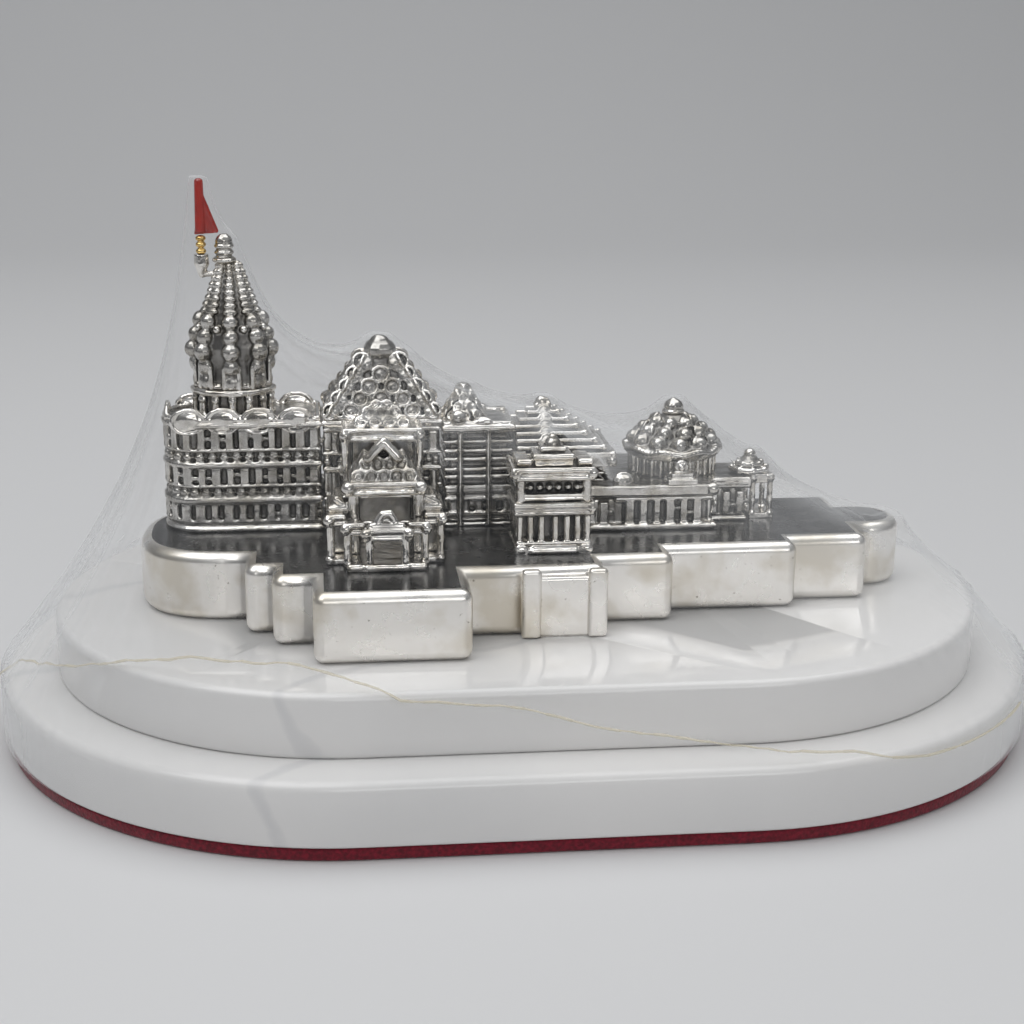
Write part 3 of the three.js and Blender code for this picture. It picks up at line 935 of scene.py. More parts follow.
@dataclass
class Stand:
    """Two marble tiers, the felt under them and the fixings that hold them."""

    marble: bpy.types.Material
    felt: bpy.types.Material
    steel: bpy.types.Material
    rim: float = 1.1
    foot_rim: float = 0.5

    def build(self) -> None:
        """Makes the tiers and the pad, and finishes the fixings."""
        self._tier("marble_lower_tier", self.marble, Slot.MARBLE, self.rim)
        self._tier("marble_upper_tier", self.marble, Slot.MARBLE, self.rim * 0.8)
        self._tier("felt_pad", self.felt, Slot.FELT, 0.3)
        for side in ("left", "right"):
            for kind in ("screw", "washer"):
                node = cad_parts[f"fixing_{kind}_{side}"]
                node.data.materials.clear()
                node.data.materials.append(self.steel)

    def _tier(self, node: str, finish: bpy.types.Material, slot: Slot, rim: float) -> None:
        """Makes one round-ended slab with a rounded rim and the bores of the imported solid.

        Args:
            node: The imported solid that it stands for.
            finish: Its material.
            slot: The record's finish.
            rim: The radius of its upper edge.
        """
        span = Span.of(node)
        wax = Wax()
        wax.prism(stadium(span.x1 - span.x0, span.y1 - span.y0), (span.z0, span.z1))
        for height, radius in ((span.z1, rim), (span.z0, min(rim, self.foot_rim))):
            edge = [e for e in wax.mesh.edges if all(abs(v.co.z - height) < 1e-3 for v in e.verts)]
            bmesh.ops.bevel(
                wax.mesh, geom=edge, offset=radius, segments=6, profile=0.5, affect="EDGES", material=-1,
            )
        piece = wax.to_object(f"{node}_stone" if slot is Slot.MARBLE else f"{node}_cut")
        drills = self._drill(piece, span) if slot is Slot.MARBLE else []
        freeze(piece)
        for drill in drills:
            bpy.data.objects.remove(drill)
        dress(piece, Body.MODEL, slot, [finish], node)

    def _drill(self, piece: bpy.types.Object, span: Span) -> list[bpy.types.Object]:
        """Cuts the screws' bores and counterbores.

        Args:
            piece: The marble tier.
            span: Its box.

        Returns:
            The cutters, to be removed once the piece is finished.
        """
        drills = []
        for side in ("left", "right"):
            washer = Span.of(f"fixing_washer_{side}")
            shank = 1.8
            wax = Wax()
            wax.post(washer.x, washer.y, (span.z0 - 1, span.z1 + 1), shank)
            if span.z0 < washer.z0:
                wax.post(washer.x, washer.y, (span.z0 - 1, washer.z1), 4.2)
            drill = wax.to_object(f"drill_{side}")
            drills.append(drill)
            cut = piece.modifiers.new("bore", "BOOLEAN")
            cut.object = drill
            cut.operation = "DIFFERENCE"
            cut.solver = "EXACT"
            cut.use_self = True
        return drills


# ---- plinth -----------------------------------------------------------------------------------


@dataclass
class Plinth:
    """The stepped block under the temple, with a stair block at the front and the rear."""

    polished: bpy.types.Material
    deck: bpy.types.Material
    apse_end: float = -31.8
    apse_half: float = 10.4
    apse_power: float = 2.6
    steps: tuple[Range, ...] = (
        (-31.8, 15.1), (-28.8, 19.2), (-24.5, 25.7), (-7.8, 18.1), (7.5, 14.7), (15.7, 11.4), (30.7, 9.0),
    )
    nose_start: float = 39.7
    nose_radius: float = 4.3
    rounding: float = 1.25

    def build(self) -> None:
        """Makes the plinth and both stairs."""
        span = Span.of("plinth")
        wax = Wax()
        wax.prism(self._outline(span), (span.z0, span.z1))
        upright = [e for e in wax.mesh.edges if self._is_corner(e)]
        rims = [e for e in wax.mesh.edges if abs(e.verts[0].co.z - e.verts[1].co.z) < 1e-3]
        bmesh.ops.bevel(
            wax.mesh, geom=[*upright, *rims], offset=self.rounding, segments=5, profile=0.5,
            affect="EDGES", material=-1, clamp_overlap=True,
        )
        self._finish(wax, "plinth", span.z1)
        for side in Side:
            self._stair(side)

    def _outline(self, span: Span) -> list[tuple[float, float]]:
        """Draws the plinth in plan.

        Args:
            span: Its box.

        Returns:
            The outline.
        """
        front = []
        for i in range(13):
            angle = math.pi / 2 * i / 12
            reach = (self.apse_end - span.x0) * math.cos(angle) ** (2 / self.apse_power)
            front.append((self.apse_end - reach, -self.apse_half * math.sin(angle) ** (2 / self.apse_power)))
        starts = [x for x, _ in self.steps[1:]] + [self.nose_start]
        for (x, half), end in zip(self.steps, starts):
            front += [(x, -half), (end, -half)]
        centre = span.x1 - self.nose_radius
        front.append((self.nose_start, -self.nose_radius))
        for i in range(13):
            angle = math.pi / 2 * (i / 12 - 1)
            front.append((centre + self.nose_radius * math.cos(angle), self.nose_radius * math.sin(angle)))
        return front + [(x, -y) for x, y in reversed(front[1:-1])]

    @staticmethod
    def _is_corner(edge: bmesh.types.BMEdge) -> bool:
        """Tells whether an edge is an upright one at a sharp corner that points outwards.

        Args:
            edge: The edge to look at.

        Returns:
            True where the edge is such a corner.
        """
        a, b = edge.verts
        upright = abs(a.co.z - b.co.z) > 1.0
        return upright and edge.is_convex and edge.calc_face_angle(0.0) > math.radians(50)

    def _stair(self, side: Side) -> None:
        """Makes a stair block with rounded ribs.

        Args:
            side: The side that it stands on.
        """
        node = f"stair_{side.value}"
        span = Span.of(node)
        outer = span.y0 if side is Side.FRONT else span.y1
        inner = span.y1 if side is Side.FRONT else span.y0
        tread = outer + (inner - outer) * 0.4
        wax = Wax()
        rib = 2.2
        parts = [
            ((span.x0, span.x0 + rib), outer, span.z1), ((span.x1 - rib, span.x1), outer, span.z1),
            ((span.x0 + rib * 0.8, span.x1 - rib * 0.8), tread, span.z1 - 0.9),
        ]
        for xs, front, top in parts:
            rib_wax = Wax()
            rib_wax.block(xs, (front, inner), (span.z0, top))
            bmesh.ops.bevel(
                rib_wax.mesh, geom=rib_wax.mesh.edges[:], offset=0.5, segments=4, profile=0.5,
                affect="EDGES", material=-1,
            )
            wax.add(rib_wax.mesh)
        self._finish(wax, node, span.z1 + 1)

    def _finish(self, wax: Wax, node: str, deck: float) -> None:
        """Finishes a block, dark on its deck, a painted dark reflection, and polished elsewhere.

        Args:
            wax: The block's shape.
            node: The plain solid that it stands for.
            deck: The deck's height.
        """
        # Painted reflection: the flat deck faces take the darker copy of the silver.
        for face in wax.mesh.faces:
            face.material_index = int(face.normal.z > 0.999 and face.calc_center_median().z > deck - 0.05)
        piece = wax.to_object(f"{node}_cast")
        freeze(piece)
        kinds = np.zeros(len(piece.data.polygons), np.int32)
        for polygon in piece.data.polygons:
            flat_top = polygon.normal.z > 0.999 and polygon.center.z > (deck - 0.05) * MM
            kinds[polygon.index] = int(flat_top)
        dress(piece, Body.MODEL, Slot.SILVER, [self.polished, self.deck], node)
        piece.data.polygons.foreach_set("material_index", kinds)
        sharpen = piece.modifiers.new("normals", "WEIGHTED_NORMAL")
        sharpen.keep_sharp = True
        freeze(piece, 1.0)


# ---- sanctum and tower ------------------------------------------------------------------------


@dataclass
class Sanctum:
    """The tall block with a half-round end that carries the tower."""

    foundry: Foundry
    apse: float = 4.5
    merlons: tuple[float, ...] = (-38.1, -34.2, -30.2, -26.0)
    merlon_radius: float = 2.0
    merlon_rise: float = 0.75

    def build(self) -> None:
        """Casts the wall and its parapet."""
        span = Span.of("sanctum_wall")
        wax = Wax(3)
        outline = Outline.of(span, self.apse)
        wax.courses(outline, span.z0, [
            (Course.BAND, 0.0, 0.65, 0.0), (Course.BAND, 0.6, 0.95, 0.35), (Course.BAND, 0.9, 1.5, 0.1),
            (Course.POSTS, 1.5, 3.1, 0.05), (Course.BAND, 3.2, 4.2, 0.0), (Course.BEADS, 4.2, 5.0, 0.1),
            (Course.BAND, 5.2, 5.65, 0.15), (Course.POSTS, 5.7, 7.4, 0.1), (Course.BAND, 7.5, 8.3, 0.0),
            (Course.BEADS, 8.35, 9.2, 0.1), (Course.BAND, 9.4, 9.85, 0.15), (Course.POSTS, 9.9, 12.0, 0.1),
            (Course.BAND, 12.1, 13.0, 0.0),
        ])
        wax.prism(outline.points(1.0), (span.z0, span.z1))
        self.foundry.pour(wax, "sanctum_wall", 0.14, 3)

        lip = Span.of("sanctum_parapet")
        edge = Wax(4)
        for x, y, _ in outline.walk(0.4, 0.5):
            edge.ball((x, y, lip.z0 + 0.15), 0.36)
        for x in self.merlons:
            for y in (span.y0 + 0.4, span.y1 - 0.4):
                self._merlon(edge, x, y, lip.z0)
        self._merlon(edge, span.x0 + 0.7, AXIS_Y, lip.z0, math.pi / 2)
        self.foundry.pour(edge, "sanctum_parapet")

    def _merlon(self, wax: Wax, x: float, y: float, foot: float, turn: float = 0.0) -> None:
        """Adds a half-round battlement with a raised rim.

        Args:
            wax: The shapes to add to.
            x: Its place along X.
            y: Its place along Y.
            foot: The height of its foot.
            turn: How far it is turned, in radians.
        """
        wax.ball((x, y, foot), self.merlon_radius * 0.86, (1, 0.3, self.merlon_rise), turn)
        facing = Vector((math.sin(turn), math.cos(turn), 0))
        wax.ring((x, y, foot), self.merlon_radius * 0.95, 0.32, facing, (1, self.merlon_rise, 1))


@dataclass
class Tower:
    """The spire: a pillared drum, a beaded shaft and a stack of rings at its top."""

    foundry: Foundry
    flat: float = 0.83
    ribs: int = 8

    def build(self) -> None:
        """Casts the drum, the shaft and the finial."""
        drum = Span.of("tower_drum")
        self.x, self.y = drum.x, drum.y
        self._drum(drum)
        self._shaft(Span.of("tower_shaft"))
        self._finial(Span.of("tower_finial"))

    def _around(self, count: int, radius: float, phase: float = 0.0) -> Iterator[tuple[float, float, float]]:
        """Walks round the tower.

        Args:
            count: How many places.
            radius: Their distance from the tower's axis.
            phase: The share of a step that the first place is turned by.

        Yields:
            x, y and the direction from the axis.
        """
        for i in range(count):
            angle = TURN * (i + phase) / count - math.pi / 2
            yield self.x + radius * math.cos(angle), self.y + radius * math.sin(angle) * self.flat, angle

    def _drum(self, span: Span) -> None:
        """Casts the drum.

        Args:
            span: The drum's box.
        """
        wax = Wax(5)
        radius = span.x1 - span.x
        wax.turned([(0, span.z0), (radius - 1.1, span.z0), (radius - 1.1, span.z1), (0, span.z1)],
                   span.x, span.y, self.flat)
        for x, y, _ in self._around(14, radius - 0.7):
            wax.post(x, y, (span.z0, span.z1 - 0.4), 0.5, 0.38)
            wax.ball((x, y, span.z0 + 2.2), 0.55)
        for z, wire in ((span.z0 + 0.3, 0.35), (span.z1 - 0.35, 0.42)):
            wax.ring((span.x, span.y, z), radius - 0.45, wire, Vector((0, 0, 1)), (1, self.flat, 1))
        self.foundry.pour(wax, "tower_drum")

    def _shaft(self, span: Span) -> None:
        """Casts the shaft, with niches, three tiers of balls and eight columns of rings.

        Args:
            span: The shaft's box.
        """
        wax = Wax(6)
        foot = span.z0
        wax.turned([
            (0, foot), (3.9, foot), (3.8, foot + 3), (4.1, foot + 4.6), (3.7, foot + 6.6), (2.7, foot + 9),
            (1.7, foot + 12), (0.9, span.z1), (0, span.z1),
        ], self.x, self.y, self.flat)
        wax.ring((self.x, self.y, foot + 0.25), 4.1, 0.3, Vector((0, 0, 1)), (1, self.flat, 1))
        for x, y, angle in self._around(self.ribs, 4.15):
            wax.ball((x, y, foot + 2.7), 1.02, (0.8, 1, 1), angle)
            for lean in (-0.85, 0.85):
                side = Vector((-math.sin(angle), math.cos(angle))) * lean
                wax.post(x + side.x, y + side.y, (foot, foot + 2.6), 0.3)
            wax.ball((x, y, foot + 0.8), 0.7, (0.6, 1, 1.2), angle)
        for z, radius, size in ((foot + 4.3, 4.35, 1.08), (foot + 5.95, 3.95, 0.98), (foot + 7.6, 3.4, 1.0)):
            for x, y, angle in self._around(self.ribs, radius):
                wax.ball((x, y, z), size * wax.hand.uniform(0.94, 1.05))
        for x, y, _ in self._around(self.ribs, 3.9, 0.5):
            wax.ball((x, y, foot + 6.9), 0.45)
        level, rise = foot + 8.7, 0.72
        while level < span.z1 - 0.2:
            reach = 2.95 - (level - foot - 8.7) * 0.36
            for i, (x, y, angle) in enumerate(self._around(self.ribs, reach)):
                broad = reach * (0.36 if i % 2 else 0.3)
                wax.ball((x, y, level + 0.1 * (i % 2)), 0.5, (1.0, broad / 0.5, 0.8), angle)
            level += rise
        self.foundry.pour(wax, "tower_shaft", 0.12, 1)

    def _finial(self, span: Span) -> None:
        """Casts the stack of rings and the ball at the tower's top.

        Args:
            span: The finial's box.
        """
        wax = Wax(7)
        x, y = span.x, span.y
        wax.post(x, y, (span.z0, span.z1 - 0.8), 1.0, 0.8)
        for lift, size in ((0.4, 1.45), (1.25, 1.2), (1.95, 1.22)):
            wax.ball((x, y, span.z0 + lift), size, (1, 1, 0.36))
        wax.ball((x, y, span.z1 - 0.95), 1.02, (1, 1, 0.9))
        self.foundry.pour(wax, "tower_finial", 0.11, 1)


@dataclass
class Flag:
    """The enamelled flag on its gold pole, in a silver socket beside the tower's top."""

    foundry: Foundry
    gold: bpy.types.Material
    enamel: bpy.types.Material

    def build(self) -> None:
        """Makes the socket, the pole and the pennant."""
        socket = Span.of("flag_socket")
        x, y = socket.x0 + 1.2, Span.of("flag_pole").y
        cup = Wax(8)
        cup.turned([
            (0, socket.z0), (0.3, socket.z0), (0.86, socket.z0 + 1.5), (0.82, socket.z1), (0.42, socket.z1),
            (0.42, socket.z0 + 0.9), (0, socket.z0 + 0.9),
        ], x, y)
        cup.bar((x + 0.4, y, socket.z0 + 0.35), (socket.x1, y, socket.z0 + 0.35), 0.34)
        self.foundry.pour(cup, "flag_socket", 0.1, 1)
        pole = Span.of("flag_pole")
        rod = Wax(9)
        rod.post(x, y, (pole.z0, pole.z1), 0.34)
        for z in (socket.z1 + 0.35, socket.z1 + 1.1, pole.z1 - 0.2):
            rod.ball((x, y, z), 0.62, (1, 1, 0.6))
        self._finish(rod, "flag_pole", Slot.GOLD, self.gold)
        tip = Span.of("flag_pennant")
        cloth = Wax(10)
        cloth.post(x, y, (tip.z0 + 0.5, tip.z1 - 0.3), 0.62, 0.5)
        cloth.ball((x, y, tip.z1 - 0.35), 0.5, (1, 1, 0.7))
        corners = [
            (x, tip.z1 - 1.2), (x + 1.0, tip.z0 + 3.4), (x + 1.9, tip.z0 + 0.4), (x - 0.7, tip.z0 + 0.2),
        ]
        cloth.plate(corners, (y - 0.16, y + 0.16))
        cloth.bar((x + 0.3, y, tip.z1 - 2.0), (x + 1.8, y, tip.z0 + 0.6), 0.24)
        self._finish(cloth, "flag_pennant", Slot.RED, self.enamel)

    @staticmethod
    def _finish(wax: Wax, node: str, slot: Slot, finish: bpy.types.Material) -> None:
        """Fuses a small piece and finishes it.

        Args:
            wax: The piece's shapes.
            node: The CAD node that it replaces.
            slot: The record's finish.
            finish: The material.
        """
        piece = wax.to_object(f"{node}_cast")
        fuse = piece.modifiers.new("fuse", "REMESH")
        fuse.mode = "VOXEL"
        fuse.voxel_size = 0.08
        freeze(piece)
        dress(piece, Body.MODEL, slot, [finish], node)


# ---- halls ------------------------------------------------------------------------------------


@dataclass
class GreatHall:
    """The hall behind the porch, under a pyramid of scales."""

    foundry: Foundry
    rows: int = 5
    blunt: float = 0.2

    def build(self) -> None:
        """Casts the wall, the roof and the finial."""
        span = Span.of("great_hall_wall")
        wall = Wax(11)
        wall.prism(Outline.of(span).points(0.9), (span.z0, span.z1))
        wall.courses(Outline.of(span), span.z0, [
            (Course.BAND, 0, 0.8, 0.1), (Course.POSTS, 0.8, 3.2, 0.2), (Course.BAND, 3.3, 4.0, 0.1),
            (Course.POSTS, 4.0, 6.8, 0.2), (Course.BAND, 6.9, 7.5, 0.1), (Course.BEADS, 7.6, 8.6, 0.2),
            (Course.BAND, 8.8, 9.3, 0.1), (Course.POSTS, 9.3, 11.4, 0.2), (Course.BAND, 11.5, 12.1, 0.2),
            (Course.BAND, 12.2, 13.0, 0.0),
        ])
        self.foundry.pour(wall, "great_hall_wall", 0.14, 3)
        self._roof(Span.of("great_hall_roof"))
        top = Span.of("great_hall_finial")
        cap = Wax(13)
        cap.ball((top.x, top.y, top.z0 - 0.5), 2.0, (1, 1, 0.7))
        cap.ball((top.x, top.y, top.z1 - 1.05), 1.15, (1.1, 1.1, 0.9))
        self.foundry.pour(cap, "great_hall_finial")

    def _roof(self, span: Span) -> None:
        """Casts the pyramid with rows of scales on its four sides.

        Args:
            span: The roof's box.
        """
        wax = Wax(12)
        half_x, half_y, rise = (span.x1 - span.x0) / 2, (span.y1 - span.y0) / 2, span.z1 - span.z0
        wax.pyramid(span, 0.7, span.z1 - 0.1, self.blunt)
        wax.block((span.x0 + 0.2, span.x1 - 0.2), (span.y0 + 0.2, span.y1 - 0.2), (span.z0, span.z0 + 0.4))
        for row in range(self.rows):
            share = row / self.rows
            z = span.z0 + 0.85 + (rise - 1.2) * share
            narrow = 1 - share * (1 - self.blunt)
            wide, deep = (half_x - 0.85) * narrow, (half_y - 0.85) * narrow
            size = 0.88 if row < self.rows - 1 else 1.05
            for sign in (-1, 1):
                across = max(1, round(2 * wide / 1.95))
                facing = Vector((0, sign, 0.45)).normalized()
                y = span.y + sign * (deep + 0.25)
                wax.scale_row((span.x - wide, y, z), (span.x + wide, y, z), across, size, facing)
                along = max(1, round(2 * deep / 1.8))
                facing = Vector((sign, 0, 0.6)).normalized()
                x = span.x + sign * (wide + 0.25)
                wax.scale_row((x, span.y - deep, z), (x, span.y + deep, z), along, size * 0.9, facing)
        self.foundry.pour(wax, "great_hall_roof", 0.12, 1)


@dataclass
class MiddleHall:
    """The banded hall between the two pyramids, with a small scaled roof and lumps along its edge."""

    foundry: Foundry

    def build(self) -> None:
        """Casts the wall and the roof."""
        span = Span.of("middle_hall_wall")
        wall = Wax(14)
        wall.prism(Outline.of(span).points(0.9), (span.z0, span.z1 - 0.4))
        bands = (0.0, 1.3, 3.1, 3.9, 4.5, 5.7, 6.6, 7.8, 8.8, 9.9)
        wall.courses(Outline.of(span), span.z0, [(Course.BAND, z, z + 0.5, 0.25) for z in bands])
        eave_and_posts = [(Course.BAND, 11.2, 12.2, 0.0), (Course.POSTS, 1.8, 3.1, 0.3)]
        wall.courses(Outline.of(span), span.z0, eave_and_posts)
        for x in (-7.2, -3.9):
            for y in (span.y0 + 0.35, span.y1 - 0.35):
                wall.post(x, y, (span.z0, span.z1 - 0.6), 0.3)
        self.foundry.pour(wall, "middle_hall_wall", 0.14, 3)

        roof = Span.of("middle_hall_roof")
        wax = Wax(15)
        wax.post(roof.x, roof.y, (roof.z0, roof.z1 - 0.8), 2.6, 0.4)
        for row in range(4):
            z, reach = roof.z0 + 0.55 + row * 0.95, 2.5 - row * 0.62
            for i in range(max(4, 10 - 2 * row)):
                angle = TURN * (i + 0.5 * (row % 2)) / max(4, 10 - 2 * row) - math.pi / 2
                out = Vector((math.cos(angle), math.sin(angle), 0.5)).normalized()
                at = (roof.x + reach * math.cos(angle), roof.y + reach * 1.1 * math.sin(angle), z)
                wax.ring(at, 0.55, 0.19, out)
                wax.ball(tuple(Vector(at) - out * 0.4), 0.5)
        wax.ball((roof.x, roof.y, roof.z1 - 0.55), 0.6)
        for y in (span.y0 + 0.9, span.y1 - 0.9):
            wax.ball((-7.4, y, 36.0), 1.05, (1, 0.8, 0.95))
            wax.ball((-4.4, y, 35.5), 1.0, (1.3, 0.8, 0.7))
            wax.ball((-2.0, y, 35.1), 0.9, (1.3, 0.8, 0.7))
            wax.block((-9.2, -1.2), (y - 0.5, y + 0.5), (roof.z0 - 0.3, roof.z0 + 0.25))
        self.foundry.pour(wax, "middle_hall_roof", 0.12, 1)


@dataclass
class RibbedHall:
    """The lower hall under a pyramid of long ribs."""

    foundry: Foundry
    ribs: int = 8

    def build(self) -> None:
        """Casts the wall and the roof."""
        span = Span.of("ribbed_hall_wall")
        wall = Wax(16)
        wall.prism(Outline.of(span).points(0.8), (span.z0, span.z1))
        bands = (0.0, 1.4, 2.6, 3.6, 5.0, 5.9)
        wall.courses(Outline.of(span), span.z0, [(Course.BAND, z, z + 0.5, 0.2) for z in bands])
        self.foundry.pour(wall, "ribbed_hall_wall", 0.14, 3)

        roof = Span.of("ribbed_hall_roof")
        wax = Wax(17)
        apex_x = 2.7
        right, left = roof.x1, roof.x0
        half_y = (roof.y1 - roof.y0) / 2
        wax.block((left, right), (roof.y0, roof.y1), (roof.z0, roof.z0 + 1.3))
        for corner_y in (roof.y0 + 0.5, roof.y1 - 0.5):
            wax.ball((right - 0.6, corner_y, roof.z0 + 0.7), 0.8)
        for i in range(self.ribs):
            share = i / (self.ribs - 1)
            z = roof.z0 + 1.5 + share * (roof.z1 - roof.z0 - 2.4)
            reach = 7.0 * (1 - share) + 0.8
            deep = (half_y - 0.7) * (1 - share) + 0.5
            start = max(left + 0.1, apex_x - reach)
            ys = (roof.y - deep + 0.3, roof.y + deep - 0.3)
            wax.block((start, apex_x + reach - 0.3), ys, (z - 0.6, z + 0.1))
            for sign in (-1, 1):
                y = roof.y + sign * deep
                wax.bar((start + 0.2, y, z), (apex_x + reach, y, z), 0.27)
                wax.bar((apex_x + reach, roof.y - deep, z), (apex_x + reach, roof.y + deep, z), 0.27)
                wax.ball((apex_x + reach, y, z), 0.42)
                wax.ring((apex_x + 0.25, y - sign * 0.02, z + 0.05), 0.72, 0.22, Vector((0, sign, 0.5)))
                wax.ball((apex_x + 0.25, y - sign * 0.35, z), 0.7)
        wax.ball((apex_x, roof.y, roof.z1 - 0.6), 0.75)
        self.foundry.pour(wax, "ribbed_hall_roof", 0.12, 1)


@dataclass
class LowHall:
    """The long low hall with small domes along its edges."""

    foundry: Foundry

    def build(self) -> None:
        """Casts the wall, the roof and the four small domes."""
        span = Span.of("low_hall_wall")
        roof = Span.of("low_hall_roof")
        inner = 10.2
        wall = Wax(18)
        body = Outline(inner, span.x1, span.y0, span.y1)
        wall.prism(body.points(1.0), (span.z0, roof.z0 + 0.1))
        wall.courses(body, span.z0, [(Course.BAND, 0, 0.8, 0.0), (Course.POSTS, 0.9, 3.4, 0.35)])
        wall.courses(body, span.z0, [(Course.BAND, 3.4, 4.05, 0.4)])
        for y0, y1 in ((span.y0, -1.9), (7.9, span.y1)):
            wing = Outline(span.x0 + 0.1, inner + 1, y0, y1)
            wall.courses(wing, span.z0, [
                (Course.BAND, 0, 0.8, 0.0), (Course.BAND, 0.8, 3.9, 0.8), (Course.POSTS, 0.9, 3.4, 0.3),
            ])
        self.foundry.pour(wall, "low_hall_wall", 0.14, 1)

        top = Wax(19)
        rise = roof.z1 - roof.z0
        top.block((inner, roof.x1), (roof.y0, roof.y1), (roof.z0, roof.z1))
        for y0, y1 in ((roof.y0, -1.9), (7.9, roof.y1)):
            top.block((roof.x0, inner + 1), (y0, y1), (roof.z0, roof.z1))
        for y in (roof.y0 + 0.25, roof.y1 - 0.25):
            for z in (roof.z0 + 0.3, roof.z1 - 0.28):
                top.bar((roof.x0 + 0.4, y, z), (roof.x1 - 0.3, y, z), rise * 0.21)
        for y in (roof.y0 + 0.4, roof.y1 - 0.4):
            top.ball((roof.x1 - 0.5, y, roof.z0 + rise / 2), 0.85)
        self.foundry.pour(top, "low_hall_roof", 0.14, 1)
        for side in Side:
            self._domes(side)

    def _domes(self, side: Side) -> None:
        """Casts the stepped dome and the half dome of one side.

        Args:
            side: The side that they stand on.
        """
        span = Span.of(f"small_dome_{side.value}")
        wax = Wax(20)
        foot = span.z0
        for zs, size in (((foot, foot + 0.6), 1.75), ((foot + 0.7, foot + 1.25), 1.25)):
            wax.block((span.x - size, span.x + size), (span.y - size * 0.7, span.y + size * 0.7), zs)
            for sign in (-1, 1):
                wax.ball((span.x + sign * size, span.y, sum(zs) / 2), 0.36)
        wax.ball((span.x, span.y, foot + 0.9), 1.1, (1, 0.7, 0.5))
        wax.ring((span.x, span.y, foot + 1.85), 0.62, 0.24, Vector((0, 1, 0)))
        wax.ball((span.x, span.y, foot + 1.8), 0.55)
        self.foundry.pour(wax, f"small_dome_{side.value}", 0.11, 1)
        span = Span.of(f"low_dome_{side.value}")
        half = Wax(21)
        half.ball((span.x, span.y, span.z0 + 0.1), 1.15, (1.1, 0.8, 0.95))
        half.ring((span.x, span.y, span.z0 + 0.1), 1.1, 0.24, Vector((0, 1, 0)))
        self.foundry.pour(half, f"low_dome_{side.value}", 0.11, 1)


@dataclass
class Rotunda:
    """The round pavilion, with a scalloped eave and rows of balls on its dome."""

    foundry: Foundry

    def build(self) -> None:
        """Casts the drum, the roof and the finial."""
        drum = Span.of("rotunda_drum")
        wax = Wax(22)
        radius = (drum.x1 - drum.x0) / 2
        wax.post(drum.x, drum.y, (drum.z0, drum.z1), radius - 0.5)
        for i in range(28):
            angle = TURN * i / 28
            x, y = drum.x + (radius - 0.35) * math.cos(angle), drum.y + (radius - 0.35) * math.sin(angle)
            wax.post(x, y, (drum.z0, drum.z1), 0.26)
        self.foundry.pour(wax, "rotunda_drum", 0.13, 1)

        roof = Span.of("rotunda_roof")
        shell = Wax(23)
        foot, rim = roof.z0, (roof.x1 - roof.x0) / 2
        shell.turned([
            (0, foot), (rim - 0.5, foot), (rim - 0.1, foot + 0.7), (rim - 0.5, foot + 1.2), (4.4, foot + 1.7),
            (2.9, foot + 3.1), (1.2, roof.z1), (0, roof.z1),
        ], roof.x, roof.y)
        for i in range(72):
            angle = TURN * i / 72
            wave = 0.16 * math.sin(angle * 9)
            x = roof.x + (rim - 0.42) * math.cos(angle)
            y = roof.y + (rim - 0.42) * math.sin(angle)
            shell.ball((x, y, foot + 0.85 + wave), 0.45)
        for row, (reach, z, size, count) in enumerate(
            ((4.6, foot + 1.7, 0.95, 11), (3.5, foot + 2.75, 0.88, 9), (2.3, foot + 3.75, 0.8, 7))
        ):
            for i in range(count):
                angle = TURN * (i + 0.3 * row) / count - math.pi / 2
                at = Vector((roof.x + reach * math.cos(angle), roof.y + reach * math.sin(angle), z))
                shell.ball(tuple(at), size)
                shell.ring(tuple(at), size, 0.2, Vector((math.cos(angle), math.sin(angle), 0.5)))
        self.foundry.pour(shell, "rotunda_roof", 0.13, 1)

        top = Span.of("rotunda_finial")
        bulb = Wax(24)
        bulb.ball((top.x, top.y, top.z0 + 0.75), 1.2, (1, 1, 0.85))
        bulb.ball((top.x, top.y, top.z1 - 0.45), 0.45)
        bulb.ring((top.x, top.y, top.z0 + 0.25), 1.1, 0.3, Vector((0, 0, 1)))
        self.foundry.pour(bulb, "rotunda_finial", 0.11, 1)


